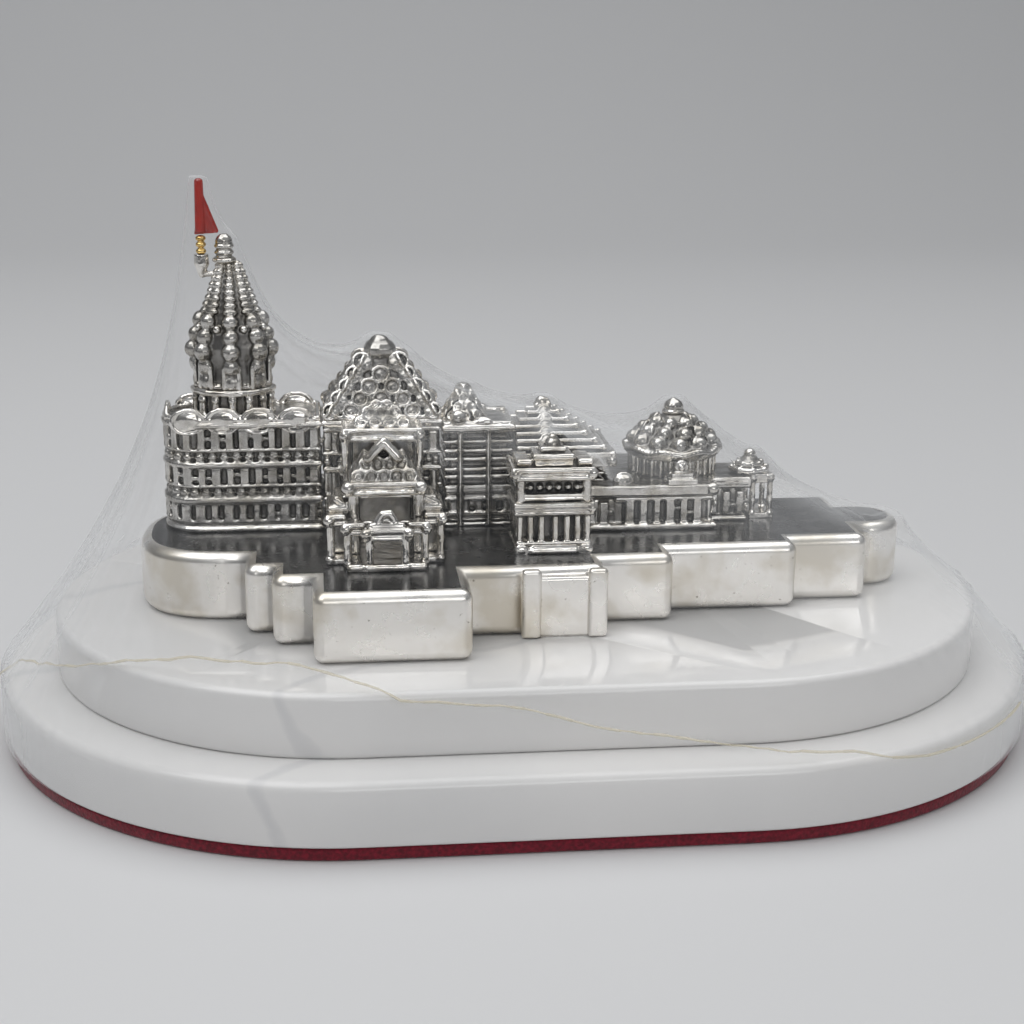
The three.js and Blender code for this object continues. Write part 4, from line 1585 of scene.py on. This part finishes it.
@dataclass
class LowEnd:
    """The link block and the small canopy on posts at the temple's low end."""

    foundry: Foundry

    def build(self) -> None:
        """Casts both pieces of the link and both of the canopy."""
        span = Span.of("link_wall")
        wall = Wax(25)
        wall.courses(Outline.of(span), span.z0, [
            (Course.BAND, 0, 0.6, 0.0), (Course.BAND, 0.6, 4.0, 0.7), (Course.POSTS, 0.9, 3.6, 0.0),
        ])
        self.foundry.pour(wall, "link_wall", 0.14, 1)
        roof = Span.of("link_roof")
        top = Wax(26)
        top.block((roof.x0, roof.x1), (roof.y0, roof.y1), (roof.z0 + 0.1, roof.z1 - 0.1))
        for y in (roof.y0 + 0.2, roof.y1 - 0.2):
            for z in (roof.z0 + 0.3, roof.z1 - 0.3):
                top.bar((roof.x0 + 0.3, y, z), (roof.x1 - 0.3, y, z), 0.28)
        self.foundry.pour(top, "link_roof", 0.14, 1)

        posts = Span.of("canopy_posts")
        frame_wax = Wax(27)
        for inset, zs in ((0.1, (posts.z0, posts.z0 + 0.6)), (0.2, (posts.z1 - 1.1, posts.z1))):
            frame_wax.block((posts.x0 + inset, posts.x1 - inset), (posts.y0 + inset, posts.y1 - inset), zs)
        for x in (posts.x0 + 0.5, posts.x1 - 0.5):
            for y in (posts.y0 + 0.5, posts.y1 - 0.5):
                frame_wax.post(x, y, (posts.z0, posts.z1 - 0.4), 0.36)
                frame_wax.ball((x, y, posts.z1 - 0.5), 0.55)
                frame_wax.ball((x, y, posts.z0 + 0.6), 0.5)
        self.foundry.pour(frame_wax, "canopy_posts", 0.11, 1)
        dome = Span.of("canopy_roof")
        cap = Wax(28)
        cap.post(dome.x, dome.y, (dome.z0, dome.z1 - 1), 1.9, 0.9)
        for lift, reach, size in ((0.35, 2.1, 0.36), (0.95, 1.35, 0.34)):
            cap.ring((dome.x, dome.y, dome.z0 + lift), reach, size, Vector((0, 0, 1)))
            for i in range(8):
                angle = TURN * i / 8
                x, y = dome.x + reach * math.cos(angle), dome.y + reach * math.sin(angle)
                cap.ball((x, y, dome.z0 + lift), size * 1.3)
        cap.ball((dome.x, dome.y, dome.z1 - 0.75), 0.75)
        self.foundry.pour(cap, "canopy_roof", 0.11, 1)


# ---- side entrances ---------------------------------------------------------------------------


@dataclass
class Porch:
    """A tall porch: a columned portico before a hall with a dark doorway, and a storey above."""

    foundry: Foundry
    side: Side
    x: float = -16.4
    ground: float = 23.2
    foot: float = 23.9
    eave: float = 30.6

    def build(self) -> None:
        """Casts the six pieces."""
        self._pour(self._floor(), "floor")
        self._pour(self._hall(), "hall")
        self._pour(self._portico(), "portico")
        self._pour(self._roof(), "roof")
        self._pour(self._upper_storey(), "upper_storey")
        self._pour(self._upper_roof(), "upper_roof")

    def _pour(self, wax: Wax, part: str) -> None:
        """Casts one part on this side.

        Args:
            wax: The part's shapes, as on the front.
            part: The part's name within its node's.
        """
        if self.side is Side.REAR:
            wax.mirrored()
        self.foundry.pour(wax, f"porch_{self.side.value}_{part}", 0.12, 2)

    def _floor(self) -> Wax:
        """Models the stepped floor with ball feet.

        Returns:
            The part's shapes.
        """
        wax, x, z = Wax(29), self.x, self.ground
        wax.block((x - 6.4, x + 6.2), (-15.4, -1.9), (z, z + 0.65))
        wax.block((x - 4.2, x + 4.1), (-18.2, -15), (z, z + 0.6))
        for xs, y in (((-4.0, -2.2), -18.1), ((2.1, 3.9), -18.1), ((-2.2, 2.1), -18.3)):
            wax.bar((x + xs[0], y + 0.3, z + 0.4), (x + xs[1], y + 0.3, z + 0.4), 0.46)
        for dx, y in ((-6.1, -15.2), (5.9, -15.2), (-4.2, -16.6), (4.1, -16.6)):
            wax.ball((x + dx, y + 0.2, z + 0.5), 0.62)
        return wax

    def _hall(self) -> Wax:
        """Models the hall: corner posts round an open doorway, and stepped side aisles.

        Returns:
            The part's shapes.
        """
        wax, x, foot, eave = Wax(30), self.x, self.foot, self.eave
        for dx in (-3.4, 3.6):
            wax.block((x + dx - 0.5, x + dx + 0.5), (-13.3, -1.8), (foot, eave))
            wax.post(x + dx, -13.0, (foot, eave), 0.70)
        wax.block((x - 3.6, x + 3.8), (-7.2, -1.8), (foot, eave))
        wax.block((x - 3.6, x + 3.8), (-13.2, -1.8), (eave - 0.5, eave))
        for dx, sign in ((-5.1, -1), (5.1, 1)):
            wax.block((x + dx - 1.1, x + dx + 1.0), (-13.1, -8.1), (foot, 28.9))
            wax.bar((x + dx + sign * 0.9, -13.0, 28.9), (x + dx + sign * 0.9, -8.4, 28.9), 0.41)
            wax.bar((x + dx - 0.9, -13.0, 28.9), (x + dx + 0.9, -13.0, 28.9), 0.41)
            wax.bar((x + dx - 0.5 - sign * 0.3, -12.8, 29.9), (x + dx + 0.5, -12.8, 29.3), 0.46)
            wax.block((x + dx - 0.6, x + dx + 0.5), (-12.9, -8.6), (28.8, 30.2))
        return wax

    def _portico(self) -> Wax:
        """Models the columns, the lintels with ball corners and the arched crest.

        Returns:
            The part's shapes.
        """
        wax, x, foot = Wax(31), self.x, self.foot
        for dx, y, head in (
            (-6.0, -15.0, 27.9), (5.9, -15.0, 27.9), (-4.2, -16.5, 27.5), (4.1, -16.5, 27.5),
            (-1.9, -17.8, 27.0), (1.9, -17.8, 27.0),
        ):
            wax.post(x + dx, y, (foot, head), 0.46)
            wax.ball((x + dx, y, foot + 0.35), 0.5)
            wax.ball((x + dx, y, foot + 1.1), 0.42, (1, 1, 0.6))
        for xs, y, z in (
            ((-6.3, -4.6), -15.2, 28.1), ((4.4, 6.2), -15.2, 28.1), ((-4.5, -2.6), -16.6, 27.5),
            ((2.5, 4.4), -16.6, 27.5), ((-2.3, 2.3), -18.0, 27.2),
        ):
            wax.block((x + xs[0], x + xs[1]), (y, y + 2.6), (z - 0.5, z + 0.5))
            for lift in (-0.38, 0.42):
                wax.bar((x + xs[0], y + 0.1, z + lift), (x + xs[1], y + 0.1, z + lift), 0.35)
        for dx, y, z in ((-6.2, -15.1, 28.1), (6.1, -15.1, 28.1), (-4.4, -16.5, 27.5), (4.3, -16.5, 27.5),
                         (-2.3, -17.9, 27.3), (2.3, -17.9, 27.3)):
            wax.ball((x + dx, y, z), 0.66)
        wax.bar((x - 1.7, -17.4, 28.1), (x + 1.6, -17.4, 28.1), 0.38)
        wax.block((x - 1.7, x + 1.6), (-17.4, -15.8), (27.6, 28.2))
        arch = [(-1.0, 28.6), (-0.5, 29.4), (0.3, 29.5), (0.9, 28.6)]
        for start, end in zip(arch, arch[1:]):
            wax.bar((x + start[0], -17.2, start[1]), (x + end[0], -17.2, end[1]), 0.42)
        wax.block((x - 0.9, x + 0.9), (-17.2, -16.2), (27.9, 28.9))
        wax.block((x - 3.0, x + 3.0), (-16.2, -15.6), (27.6, 28.3))
        return wax

    def _roof(self) -> Wax:
        """Models the thick eave with ball corners, two rows of scales and the crest.

        Returns:
            The part's shapes.
        """
        wax, x, foot = Wax(32), self.x, self.eave
        wax.block((x - 4.1, x + 3.9), (-14.0, -7.2), (foot + 0.15, foot + 1.25))
        for z in (foot + 0.25, foot + 1.15):
            wax.bar((x - 4.0, -14.0, z), (x + 3.8, -14.0, z + 0.05), 0.35)
            for dx in (-4.1, 3.9):
                wax.bar((x + dx, -14.0, z), (x + dx, -7.3, z), 0.35)
        for dx in (-4.0, 3.85):
            for y in (-13.9, -7.4):
                wax.ball((x + dx, y, foot + 0.75), 0.82)
        front = Vector((0, -1, 0.5)).normalized()
        for z, y, reach, count in ((32.5, -13.3, 2.9, 5), (33.7, -12.5, 2.0, 4)):
            wax.scale_row((x - reach, y, z), (x + reach - 0.2, y, z), count, 0.72, front)
            for sign in (-1, 1):
                side = Vector((sign, 0, 0.5)).normalized()
                at = x + sign * (reach + 0.4)
                wax.scale_row((at, y + 1.0, z), (at, -8.6, z), 4, 0.62, side)
        wax.block((x - 3.2, x + 3.0), (-13.0, -7.8), (32.0, 33.0))
        wax.block((x - 2.2, x + 2.0), (-12.2, -8.4), (33.0, 34.3))
        wax.block((x - 1.0, x + 0.9), (-11.6, -9.4), (34.0, 35.6))
        for dx in (-1.7, 1.5):
            wax.bar((x + dx, -12.3, 34.3), (x - 0.1, -12.1, 36.1), 0.59)
        return wax

    def _upper_storey(self) -> Wax:
        """Models the upper storey: slanting corner posts under a thick eave.

        Returns:
            The part's shapes.
        """
        wax, x = Wax(33), self.x
        wax.block((x - 3.4, x + 3.6), (-5.6, -1.8), (30.7, 35.2))
        wax.block((x - 4.2, x + 4.3), (-6.6, -1.8), (35.0, 36.1))
        for z in (35.05, 36.05):
            wax.bar((x - 4.2, -6.6, z), (x + 4.3, -6.6, z), 0.31)
            for dx in (-4.2, 4.3):
                wax.bar((x + dx, -6.6, z), (x + dx, -2.1, z), 0.31)
        for dx in (-4.1, 4.2):
            wax.ball((x + dx, -6.5, 35.5), 0.72)
            wax.bar((x + dx, -6.3, 35.2), (x + dx * 0.95, -6.0, 31.2), 0.54)
        return wax

    def _upper_roof(self) -> Wax:
        """Models the small pile of scales on top.

        Returns:
            The part's shapes.
        """
        wax, x = Wax(34), self.x
        wax.block((x - 2.6, x + 2.7), (-5.8, -3.0), (36.3, 37.1))
        wax.block((x - 1.5, x + 1.6), (-5.2, -3.4), (37.0, 38.0))
        front = Vector((0, -1, 0.4)).normalized()
        for z, reach, count in ((36.8, 2.4, 4), (37.8, 1.5, 3), (38.5, 0.6, 2)):
            y = -5.7 + (z - 36.8) * 0.5
            wax.scale_row((x - reach, y, z), (x + reach, y, z), count, 0.58, front)
            for sign in (-1, 1):
                wax.ball((x + sign * (reach + 0.1), -4.2, z), 0.6)
        return wax


@dataclass
class Gate:
    """A gate pavilion of one or two storeys, joined to the temple by a passage."""

    foundry: Foundry
    side: Side
    x: float = 2.3
    front: float = -13.0
    back: float = -6.2
    ground: float = 23.2

    def build(self) -> None:
        """Casts the gate's pieces."""
        self._pour(self._floor(), "floor")
        self._pour(self._lower_storey(), "lower_storey")
        self._pour(self._passage(), "passage")
        if self.side is Side.FRONT:
            self._pour(self._upper_storey(), "upper_storey")
            self._pour(self._roof(), "roof")

    def _pour(self, wax: Wax, part: str) -> None:
        """Casts one part on this side.

        Args:
            wax: The part's shapes, as on the front.
            part: The part's name within its node's.
        """
        if self.side is Side.REAR:
            wax.mirrored()
        self.foundry.pour(wax, f"gate_{self.side.value}_{part}", 0.12, 2)

    def _floor(self) -> Wax:
        """Models the base: two low blocks, a step between them and a slab.

        Returns:
            The part's shapes.
        """
        wax, x, z, y = Wax(35), self.x, self.ground, self.front
        wax.block((x - 4.3, x + 4.3), (y, self.back), (z, z + 0.75))
        wax.bar((x - 2.4, y - 0.1, z + 0.3), (x + 2.4, y - 0.1, z + 0.3), 0.31)
        wax.bar((x - 2.4, y + 0.2, z + 0.75), (x + 2.4, y + 0.2, z + 0.75), 0.26)
        for dx in (-3.6, 3.6):
            wax.ball((x + dx, y + 0.3, z + 0.4), 0.85, (1.1, 0.7, 0.75))
            wax.ring((x + dx, y + 0.0, z + 0.35), 0.62, 0.2, Vector((0, 1, 0)), (1.1, 1, 1))
        return wax

    def _lower_storey(self) -> Wax:
        """Models the columns under the lower eave.

        Returns:
            The part's shapes.
        """
        wax, x, y, foot, ledge = Wax(36), self.x, self.front, 24.1, 27.9
        wax.block((x - 3.6, x + 3.6), (y + 1.6, self.back), (foot, ledge))
        for dx in (-3.8, -2.6, -1.4, 0.2, 1.5, 2.7, 3.8):
            wax.post(x + dx, y + 0.6, (foot, ledge), 0.38)
        for dx in (-3.9, 3.9):
            for i in range(4):
                wax.post(x + dx, y + 2.2 + i * 1.4, (foot, ledge), 0.38)
        wax.bar((x - 4.0, y + 0.3, foot + 0.2), (x + 4.0, y + 0.3, foot + 0.2), 0.26)
        wax.block((x - 4.3, x + 4.3), (y + 0.2, self.back), (ledge - 0.2, ledge + 0.9))
        for z in (ledge - 0.1, ledge + 0.4, ledge + 0.85):
            wax.bar((x - 4.3, y + 0.15, z), (x + 4.3, y + 0.15, z), 0.28)
            for dx in (-4.3, 4.3):
                wax.bar((x + dx, y + 0.15, z), (x + dx, self.back - 0.3, z), 0.28)
        wax.ball((x + 4.2, y + 0.25, ledge + 0.4), 0.6)
        return wax

    def _passage(self) -> Wax:
        """Models the covered way between the gate and the temple.

        Returns:
            The part's shapes.
        """
        wax, x = Wax(37), self.x
        box = Outline(x - 3.5, x + 3.5, self.back, -5.1)
        bands = [(Course.BAND, 0, 4.7, 0.3), (Course.BAND, 0, 0.7, 0.0), (Course.BAND, 4.0, 4.7, 0.0)]
        wax.courses(box, self.ground, bands)
        return wax

    def _upper_storey(self) -> Wax:
        """Models the upper storey: a frieze, corner posts and a thick eave.

        Returns:
            The part's shapes.
        """
        wax, x, y = Wax(38), self.x, self.front
        wax.block((x - 3.3, x + 3.3), (y + 1.2, self.back), (28.9, 31.8))
        for dx in (-3.7, 3.7):
            wax.post(x + dx, y + 0.9, (28.9, 31.8), 0.54)
            wax.ball((x + dx, y + 0.8, 30.7), 0.5)
        for z, radius in ((29.3, 0.24), (29.75, 0.2)):
            wax.bar((x - 3.9, y + 0.7, z), (x + 3.9, y + 0.7, z), radius)
        for i in range(6):
            wax.ball((x - 2.6 + i * 1.05, y + 1.1, 30.6), 0.42)
        wax.block((x - 4.5, x + 4.3), (y, self.back), (31.8, 32.8))
        for z in (31.85, 32.75):
            wax.bar((x - 4.5, y, z), (x + 4.3, y, z), 0.33)
            for dx in (-4.5, 4.3):
                wax.bar((x + dx, y, z), (x + dx, self.back - 0.3, z), 0.33)
        for dx in (-4.4, 4.25):
            wax.ball((x + dx, y + 0.1, 32.3), 0.66)
        return wax

    def _roof(self) -> Wax:
        """Models the stepped roof with a knob and two corner blocks.

        Returns:
            The part's shapes.
        """
        wax, x = Wax(39), self.x
        wax.block((x - 2.1, x + 2.2), (-12.0, -7.4), (33.0, 34.1))
        wax.bar((x - 2.1, -12.0, 34.0), (x + 2.1, -12.0, 34.0), 0.36)
        for dx in (-3.3, 3.5):
            wax.block((x + dx - 0.8, x + dx + 0.7), (-12.2, -7.4), (32.95, 33.6))
            wax.bar((x + dx - 0.6, -12.2, 33.5), (x + dx + 0.6, -12.2, 33.5), 0.38)
        wax.block((x - 1.3, x + 1.4), (-11.2, -8.2), (34.0, 34.8))
        wax.ball((x + 0.1, -9.8, 35.0), 1.0, (1, 1, 0.8))
        wax.ball((x + 0.1, -9.8, 35.7), 0.55, (1, 1, 0.9))
        wax.bar((x - 1.2, -11.2, 34.7), (x + 1.3, -11.2, 34.7), 0.33)
        return wax


# ---- film -------------------------------------------------------------------------------------


@dataclass
class ShrinkFilm:
    """The clear film stretched over the model, with its welded seam."""

    clear: bpy.types.Material
    weld: bpy.types.Material
    castings: Sequence[bpy.types.Object]
    cell: float = 0.5
    gap: float = 0.25
    fold: float = 0.16
    skirt_foot: float = 2.0
    end_steps: int = 200
    side_steps: int = 90
    rings: int = 150
    skirt_rings: int = 8
    flat: Range = (0.125, 0.165)
    seam: tuple[Point, ...] = (
        (-58.7, -6.5, 8.6), (-51.6, -17.5, 13.6), (-45.1, -23.1, 15.7), (-39.3, -26.0, 15.9),
        (-33.0, -28.7, 15.9), (-25.9, -31.1, 15.9), (-16.0, -34.6, 15.2), (-6.0, -35.4, 14.3),
        (-0.1, -36.2, 13.4), (5.9, -37.2, 12.3), (13.9, -38.2, 11.3), (23.0, -39.1, 10.3),
        (29.4, -38.6, 9.7), (34.2, -38.0, 8.2), (38.6, -36.1, 7.4), (43.3, -33.1, 7.2), (54.8, -20.8, 7.0),
    )

    def build(self) -> None:
        """Stretches the film over everything and welds its skirt."""
        stand, step = Span.of("marble_lower_tier"), Span.of("marble_upper_tier")
        self.half_x, self.half_y = stand.x1 + 0.45, stand.y1 + 0.45
        self.columns = 2 * math.ceil(self.half_x / self.cell) + 3
        self.rows = 2 * math.ceil(self.half_y / self.cell) + 3
        floor = self._floor(stand, step)
        taut = self._relax(floor)
        self.skin = taut + self._wrinkles(taut, floor)
        film, seam = self._sheet(), self._weld()
        width, length = self.flat

    def _grid(self) -> tuple[np.ndarray, np.ndarray]:
        """Gives the grid's x and y, rows first.

        Returns:
            The x and the y of every grid point.
        """
        xs = (np.arange(self.columns) - self.columns // 2) * self.cell
        ys = (np.arange(self.rows) - self.rows // 2) * self.cell
        return np.meshgrid(xs, ys)

    def _inside(self, half_x: float, half_y: float) -> np.ndarray:
        """Marks the grid points inside a stadium.

        Args:
            half_x: Half the stadium's length.
            half_y: Half its width.

        Returns:
            True at the points inside.
        """
        x, y = self._grid()
        over = np.maximum(np.abs(x) - (half_x - half_y), 0)
        return np.hypot(over, y) <= half_y

    def _floor(self, stand: Span, step: Span) -> np.ndarray:
        """Maps the height of everything under the film.

        Args:
            stand: The lower tier's box.
            step: The upper tier's box.

        Returns:
            The lowest height that the film may have at each grid point.
        """
        floor = np.full((self.rows, self.columns), stand.z1)
        floor[self._inside(step.x1, step.y1)] = step.z1
        solids = [*self.castings, bpy.data.objects["plinth_cast"], bpy.data.objects["flag_pennant_cast"]]
        for piece in solids:
            co = np.zeros(len(piece.data.vertices) * 3, np.float32)
            piece.data.vertices.foreach_get("co", co)
            x, y, z = co.reshape(-1, 3).T / MM
            column = np.clip(np.rint(x / self.cell).astype(int) + self.columns // 2, 1, self.columns - 2)
            row = np.clip(np.rint(y / self.cell).astype(int) + self.rows // 2, 1, self.rows - 2)
            for dr in (-1, 0, 1):
                for dc in (-1, 0, 1):
                    np.maximum.at(floor, (row + dr, column + dc), z)
        return floor + self.gap

    def _relax(self, floor: np.ndarray) -> np.ndarray:
        """Lets the film settle, taut, over what is under it, on ever finer grids.

        Args:
            floor: The lowest height at each grid point.

        Returns:
            The film's height at each grid point.
        """
        inside = self._inside(self.half_x - 0.6, self.half_y - 0.6)
        skin = None
        for stride in (8, 4, 2, 1):
            low, free = floor[::stride, ::stride].copy(), inside[::stride, ::stride]
            if stride > 1:
                for dr in range(stride):
                    for dc in range(stride):
                        part = floor[dr::stride, dc::stride]
                        view = low[: part.shape[0], : part.shape[1]]
                        np.maximum(view, part, out=view)
            if skin is None:
                skin = low.copy()
            else:
                skin = np.kron(skin, np.ones((2, 2)))[: low.shape[0], : low.shape[1]]
                skin = np.maximum(skin, low)
            for _ in range(700):
                mean = skin.copy()
                mean[1:-1, 1:-1] = (skin[:-2, 1:-1] + skin[2:, 1:-1] + skin[1:-1, :-2] + skin[1:-1, 2:]) / 4
                skin = np.where(free, np.maximum(low, mean), low)
        return skin

    def _wrinkles(self, skin: np.ndarray, floor: np.ndarray) -> np.ndarray:
        """Shapes fine folds that run out from the flag's tip where the film hangs free.

        Args:
            skin: The film's height at each grid point.
            floor: The lowest height at each grid point.

        Returns:
            The height that the folds add at each grid point.
        """
        x, y = self._grid()
        tip = Span.of("flag_pennant")
        angle = np.arctan2(y - tip.y, x - tip.x)
        away = np.hypot(y - tip.y, x - tip.x)
        free = np.clip((skin - floor) / 2.0, 0, 1)
        folds = np.sin(angle * 19 + 0.6 * np.sin(angle * 7)) + 0.6 * np.sin(angle * 43 + 1.0)
        return self.fold * folds * free * np.clip(away / 12, 0, 1)

    def _height(self, x: float, y: float) -> float:
        """Reads the film's height between grid points.

        Args:
            x: The place along X.
            y: The place along Y.

        Returns:
            The height.
        """
        column, row = x / self.cell + self.columns // 2, y / self.cell + self.rows // 2
        c, r = int(column), int(row)
        cell = self.skin[r : r + 2, c : c + 2]
        across = cell[:, 0] * (1 - column + c) + cell[:, -1] * (column - c)
        return float(across[0] * (1 - row + r) + across[-1] * (row - r))

    def _sheet(self) -> bpy.types.Object:
        """Makes the film's mesh: rings from the stand's spine out to its rim, and a skirt below.

        Returns:
            The finished film.
        """
        spine = self.half_x - self.half_y
        rim = stadium(2 * self.half_x, 2 * self.half_y, self.end_steps, self.side_steps)
        wax = Wax(40)
        bmesh.ops.create_grid(
            wax.mesh, x_segments=len(rim), y_segments=self.rings + self.skirt_rings, size=0.5,
        )
        foot = Span.of("marble_lower_tier").z1 - 0.5
        for vert in wax.mesh.verts:
            x, y = rim[round((vert.co.x + 0.5) * len(rim)) % len(rim)]
            level = round((vert.co.y + 0.5) * (self.rings + self.skirt_rings))
            share = min(level / self.rings, 1.0)
            root = max(-spine, min(spine, x))
            place = (root + (x - root) * share, y * share)
            if level <= self.rings:
                vert.co = (*place, self._height(place[0] * 0.994, place[1] * 0.994))
            else:
                drop = (level - self.rings) / self.skirt_rings
                vert.co = (*place, foot + (self.skirt_foot - foot) * drop)
        bmesh.ops.remove_doubles(wax.mesh, verts=wax.mesh.verts, dist=1e-3)
        bmesh.ops.recalc_face_normals(wax.mesh, faces=wax.mesh.faces)
        piece = wax.to_object("film_skin")
        freeze(piece)
        return dress(piece, Body.WRAP, Slot.FILM, [self.clear], "film_wrap")

    def _weld(self) -> bpy.types.Object:
        """Makes the welded seam along the film's front.

        Returns:
            The seam.
        """
        wax = Wax(41)
        points = []
        for start, end in zip(self.seam, self.seam[1:]):
            steps = max(2, round((Vector(end) - Vector(start)).length / 1.2))
            points += [Vector(start).lerp(end, i / steps) for i in range(steps)]
        spine = self.half_x - self.half_y
        for point in points:
            point.x += wax.hand.uniform(-0.08, 0.08)
            root = max(-spine, min(spine, point.x))
            out = Vector((point.x - root, point.y))
            if out.length < self.half_y - 1.2:
                point.z = self._height(point.x, point.y) + 0.08 + wax.hand.uniform(0, 0.12)
            else:
                out = out.normalized() * (self.half_y + 0.1)
                point.x, point.y = root + out.x, out.y
        for a, b in zip(points, points[1:]):
            wax.bar(a, b, wax.hand.uniform(0.10, 0.17))
        piece = wax.to_object("film_seam")
        fuse = piece.modifiers.new("fuse", "REMESH")
        fuse.mode = "VOXEL"
        fuse.voxel_size = 0.07
        freeze(piece)
        return dress(piece, Body.WRAP, Slot.FILM, [self.weld])


# ---- studio -----------------------------------------------------------------------------------


@dataclass
class Studio:
    """A pale paper sweep, soft lights and the camera."""

    paper: bpy.types.Material
    target: Point = (-0.958, 0.0, 24.399)
    distance: float = 210.74
    azimuth: float = -6.486
    elevation: float = 15.788
    roll: float = 0.479
    lens: float = 62.78

    def build(self) -> None:
        """Sets up the floor, the lights and the camera."""
        self._camera()
        self._floor()
        self._light("key_light", (-220, -160, 520), (380, 380), 0.95)
        self._light("top_light", (60, 120, 620), (700, 500), 1.6)
        self._light("front_light", (120, -600, 260), (500, 200), 0.6)
        self._room()
        bpy.context.scene.view_settings.view_transform = "Standard"

    @staticmethod
    def _room() -> None:
        """Sets the dim room round the lights, brighter above than at eye level."""
        world = bpy.data.worlds.new("room")
        bpy.context.scene.world = world
        world.use_nodes = True
        tree = world.node_tree
        back = tree.nodes["Background"]
        back.inputs["Strength"].default_value = 1.0
        place = tree.nodes.new("ShaderNodeTexCoord")
        split = tree.nodes.new("ShaderNodeSeparateXYZ")
        ramp = tree.nodes.new("ShaderNodeValToRGB")
        low, high = ramp.color_ramp.elements
        low.position, low.color = 0.0, (0.07, 0.07, 0.075, 1)
        high.position, high.color = 0.8, (0.38, 0.39, 0.40, 1)
        tree.links.new(place.outputs["Generated"], split.inputs[0])
        tree.links.new(split.outputs["Z"], ramp.inputs["Fac"])
        tree.links.new(ramp.outputs["Color"], back.inputs["Color"])

    def _camera(self) -> None:
        """Places the camera."""
        azimuth, elevation, roll = (math.radians(v) for v in (self.azimuth, self.elevation, self.roll))
        back = Vector((
            math.sin(azimuth) * math.cos(elevation), -math.cos(azimuth) * math.cos(elevation),
            math.sin(elevation),
        ))
        right = Vector((0, 0, 1)).cross(back).normalized()
        up = back.cross(right)
        turned_right = right * math.cos(roll) + up * math.sin(roll)
        turned_up = up * math.cos(roll) - right * math.sin(roll)
        rotation = Matrix((turned_right, turned_up, back)).transposed().to_4x4()
        camera = bpy.data.objects.new("camera", bpy.data.cameras.new("camera"))
        camera.data.lens = self.lens
        camera.data.clip_start = 0.01
        place = (Vector(self.target) + back * self.distance) * MM
        camera.matrix_world = Matrix.Translation(place) @ rotation
        bpy.context.scene.collection.objects.link(camera)
        bpy.context.scene.camera = camera

    def _floor(self) -> None:
        """Makes the paper sweep, which curves up behind the model."""
        wax = Wax()
        near, bend, radius, high, half = -1100.0, 420.0, 380.0, 1500.0, 1900.0
        line = [(near, 0.0)]
        for i in range(25):
            angle = math.pi / 2 * i / 24
            line.append((bend + radius * math.sin(angle), radius * (1 - math.cos(angle))))
        line.append((bend + radius, high))
        verts = [wax.mesh.verts.new((-half, y, z - 0.02)) for y, z in line]
        edges = [wax.mesh.edges.new(pair) for pair in zip(verts, verts[1:])]
        grown = bmesh.ops.extrude_edge_only(wax.mesh, edges=edges)["geom"]
        moved = [item for item in grown if isinstance(item, bmesh.types.BMVert)]
        bmesh.ops.translate(wax.mesh, vec=(2 * half, 0, 0), verts=moved)
        bmesh.ops.recalc_face_normals(wax.mesh, faces=wax.mesh.faces)
        if sum(face.normal.z for face in wax.mesh.faces) < 0:
            bmesh.ops.reverse_faces(wax.mesh, faces=wax.mesh.faces[:])
        floor = wax.to_object("paper_floor")
        freeze(floor)
        floor.data.materials.append(self.paper)
        floor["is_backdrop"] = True

    @staticmethod
    def _light(name: str, place: Point, size: Range, power: float) -> None:
        """Adds a soft rectangular light that faces the model.

        Args:
            name: Its name.
            place: Where it stands.
            size: Its width and height.
            power: Its power in watts.
        """
        lamp = bpy.data.lights.new(name, "AREA")
        lamp.shape = "RECTANGLE"
        lamp.size, lamp.size_y = size[0] * MM, size[1] * MM
        lamp.energy = power
        light = bpy.data.objects.new(name, lamp)
        light.location = Vector(place) * MM
        light.rotation_euler = (Vector((0, 0, 25)) - Vector(place)).to_track_quat("-Z", "Y").to_euler()
        bpy.context.scene.collection.objects.link(light)


def write_sizes() -> None:
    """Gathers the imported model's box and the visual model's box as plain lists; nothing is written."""
    boxes = {"cad": CAD_BOX, "visual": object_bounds()}
    plain = {name: [[float(value) for value in corner] for corner in box] for name, box in boxes.items()}


def main() -> None:
    """Builds the studio and then every sub-assembly, from the stand up."""
    logging.basicConfig(level=logging.INFO, format="%(name)s: %(message)s")
    Studio(Paper().build()).build()
    steel = Plate("zinc_steel", (0.5, 0.51, 0.52), (0.36, 0.36, 0.37), 1.0, 0.4).build()
    gold = Plate("gold_plate", (0.83, 0.58, 0.22), (0.55, 0.36, 0.12), 1.0, 0.22).build()
    enamel = Plate("red_enamel", (0.42, 0.020, 0.010), (0.28, 0.010, 0.006), 0.0, 0.18, 0.6).build()
    foundry = Foundry(AntiqueSilver().build())
    Stand(PolishedMarble().build(), Felt().build(), steel).build()
    Plinth(PlinthSilver().build(), PaintedReflectionDeckSilver().build()).build()
    makers: list[Callable[[], None]] = [
        Sanctum(foundry).build, Tower(foundry).build, Flag(foundry, gold, enamel).build,
        GreatHall(foundry).build, MiddleHall(foundry).build, RibbedHall(foundry).build,
        LowHall(foundry).build, Rotunda(foundry).build, LowEnd(foundry).build,
    ]
    makers += [Porch(foundry, side).build for side in Side]
    makers += [Gate(foundry, side).build for side in Side]
    for make in makers:
        make()
    weld = ClearFilm("welded_film", (0.80, 0.74, 0.58), 0.42, 0.5).build()
    ShrinkFilm(ClearFilm().build(), weld, foundry.castings).build()
    write_sizes()


if __name__ == "__main__":
    main()
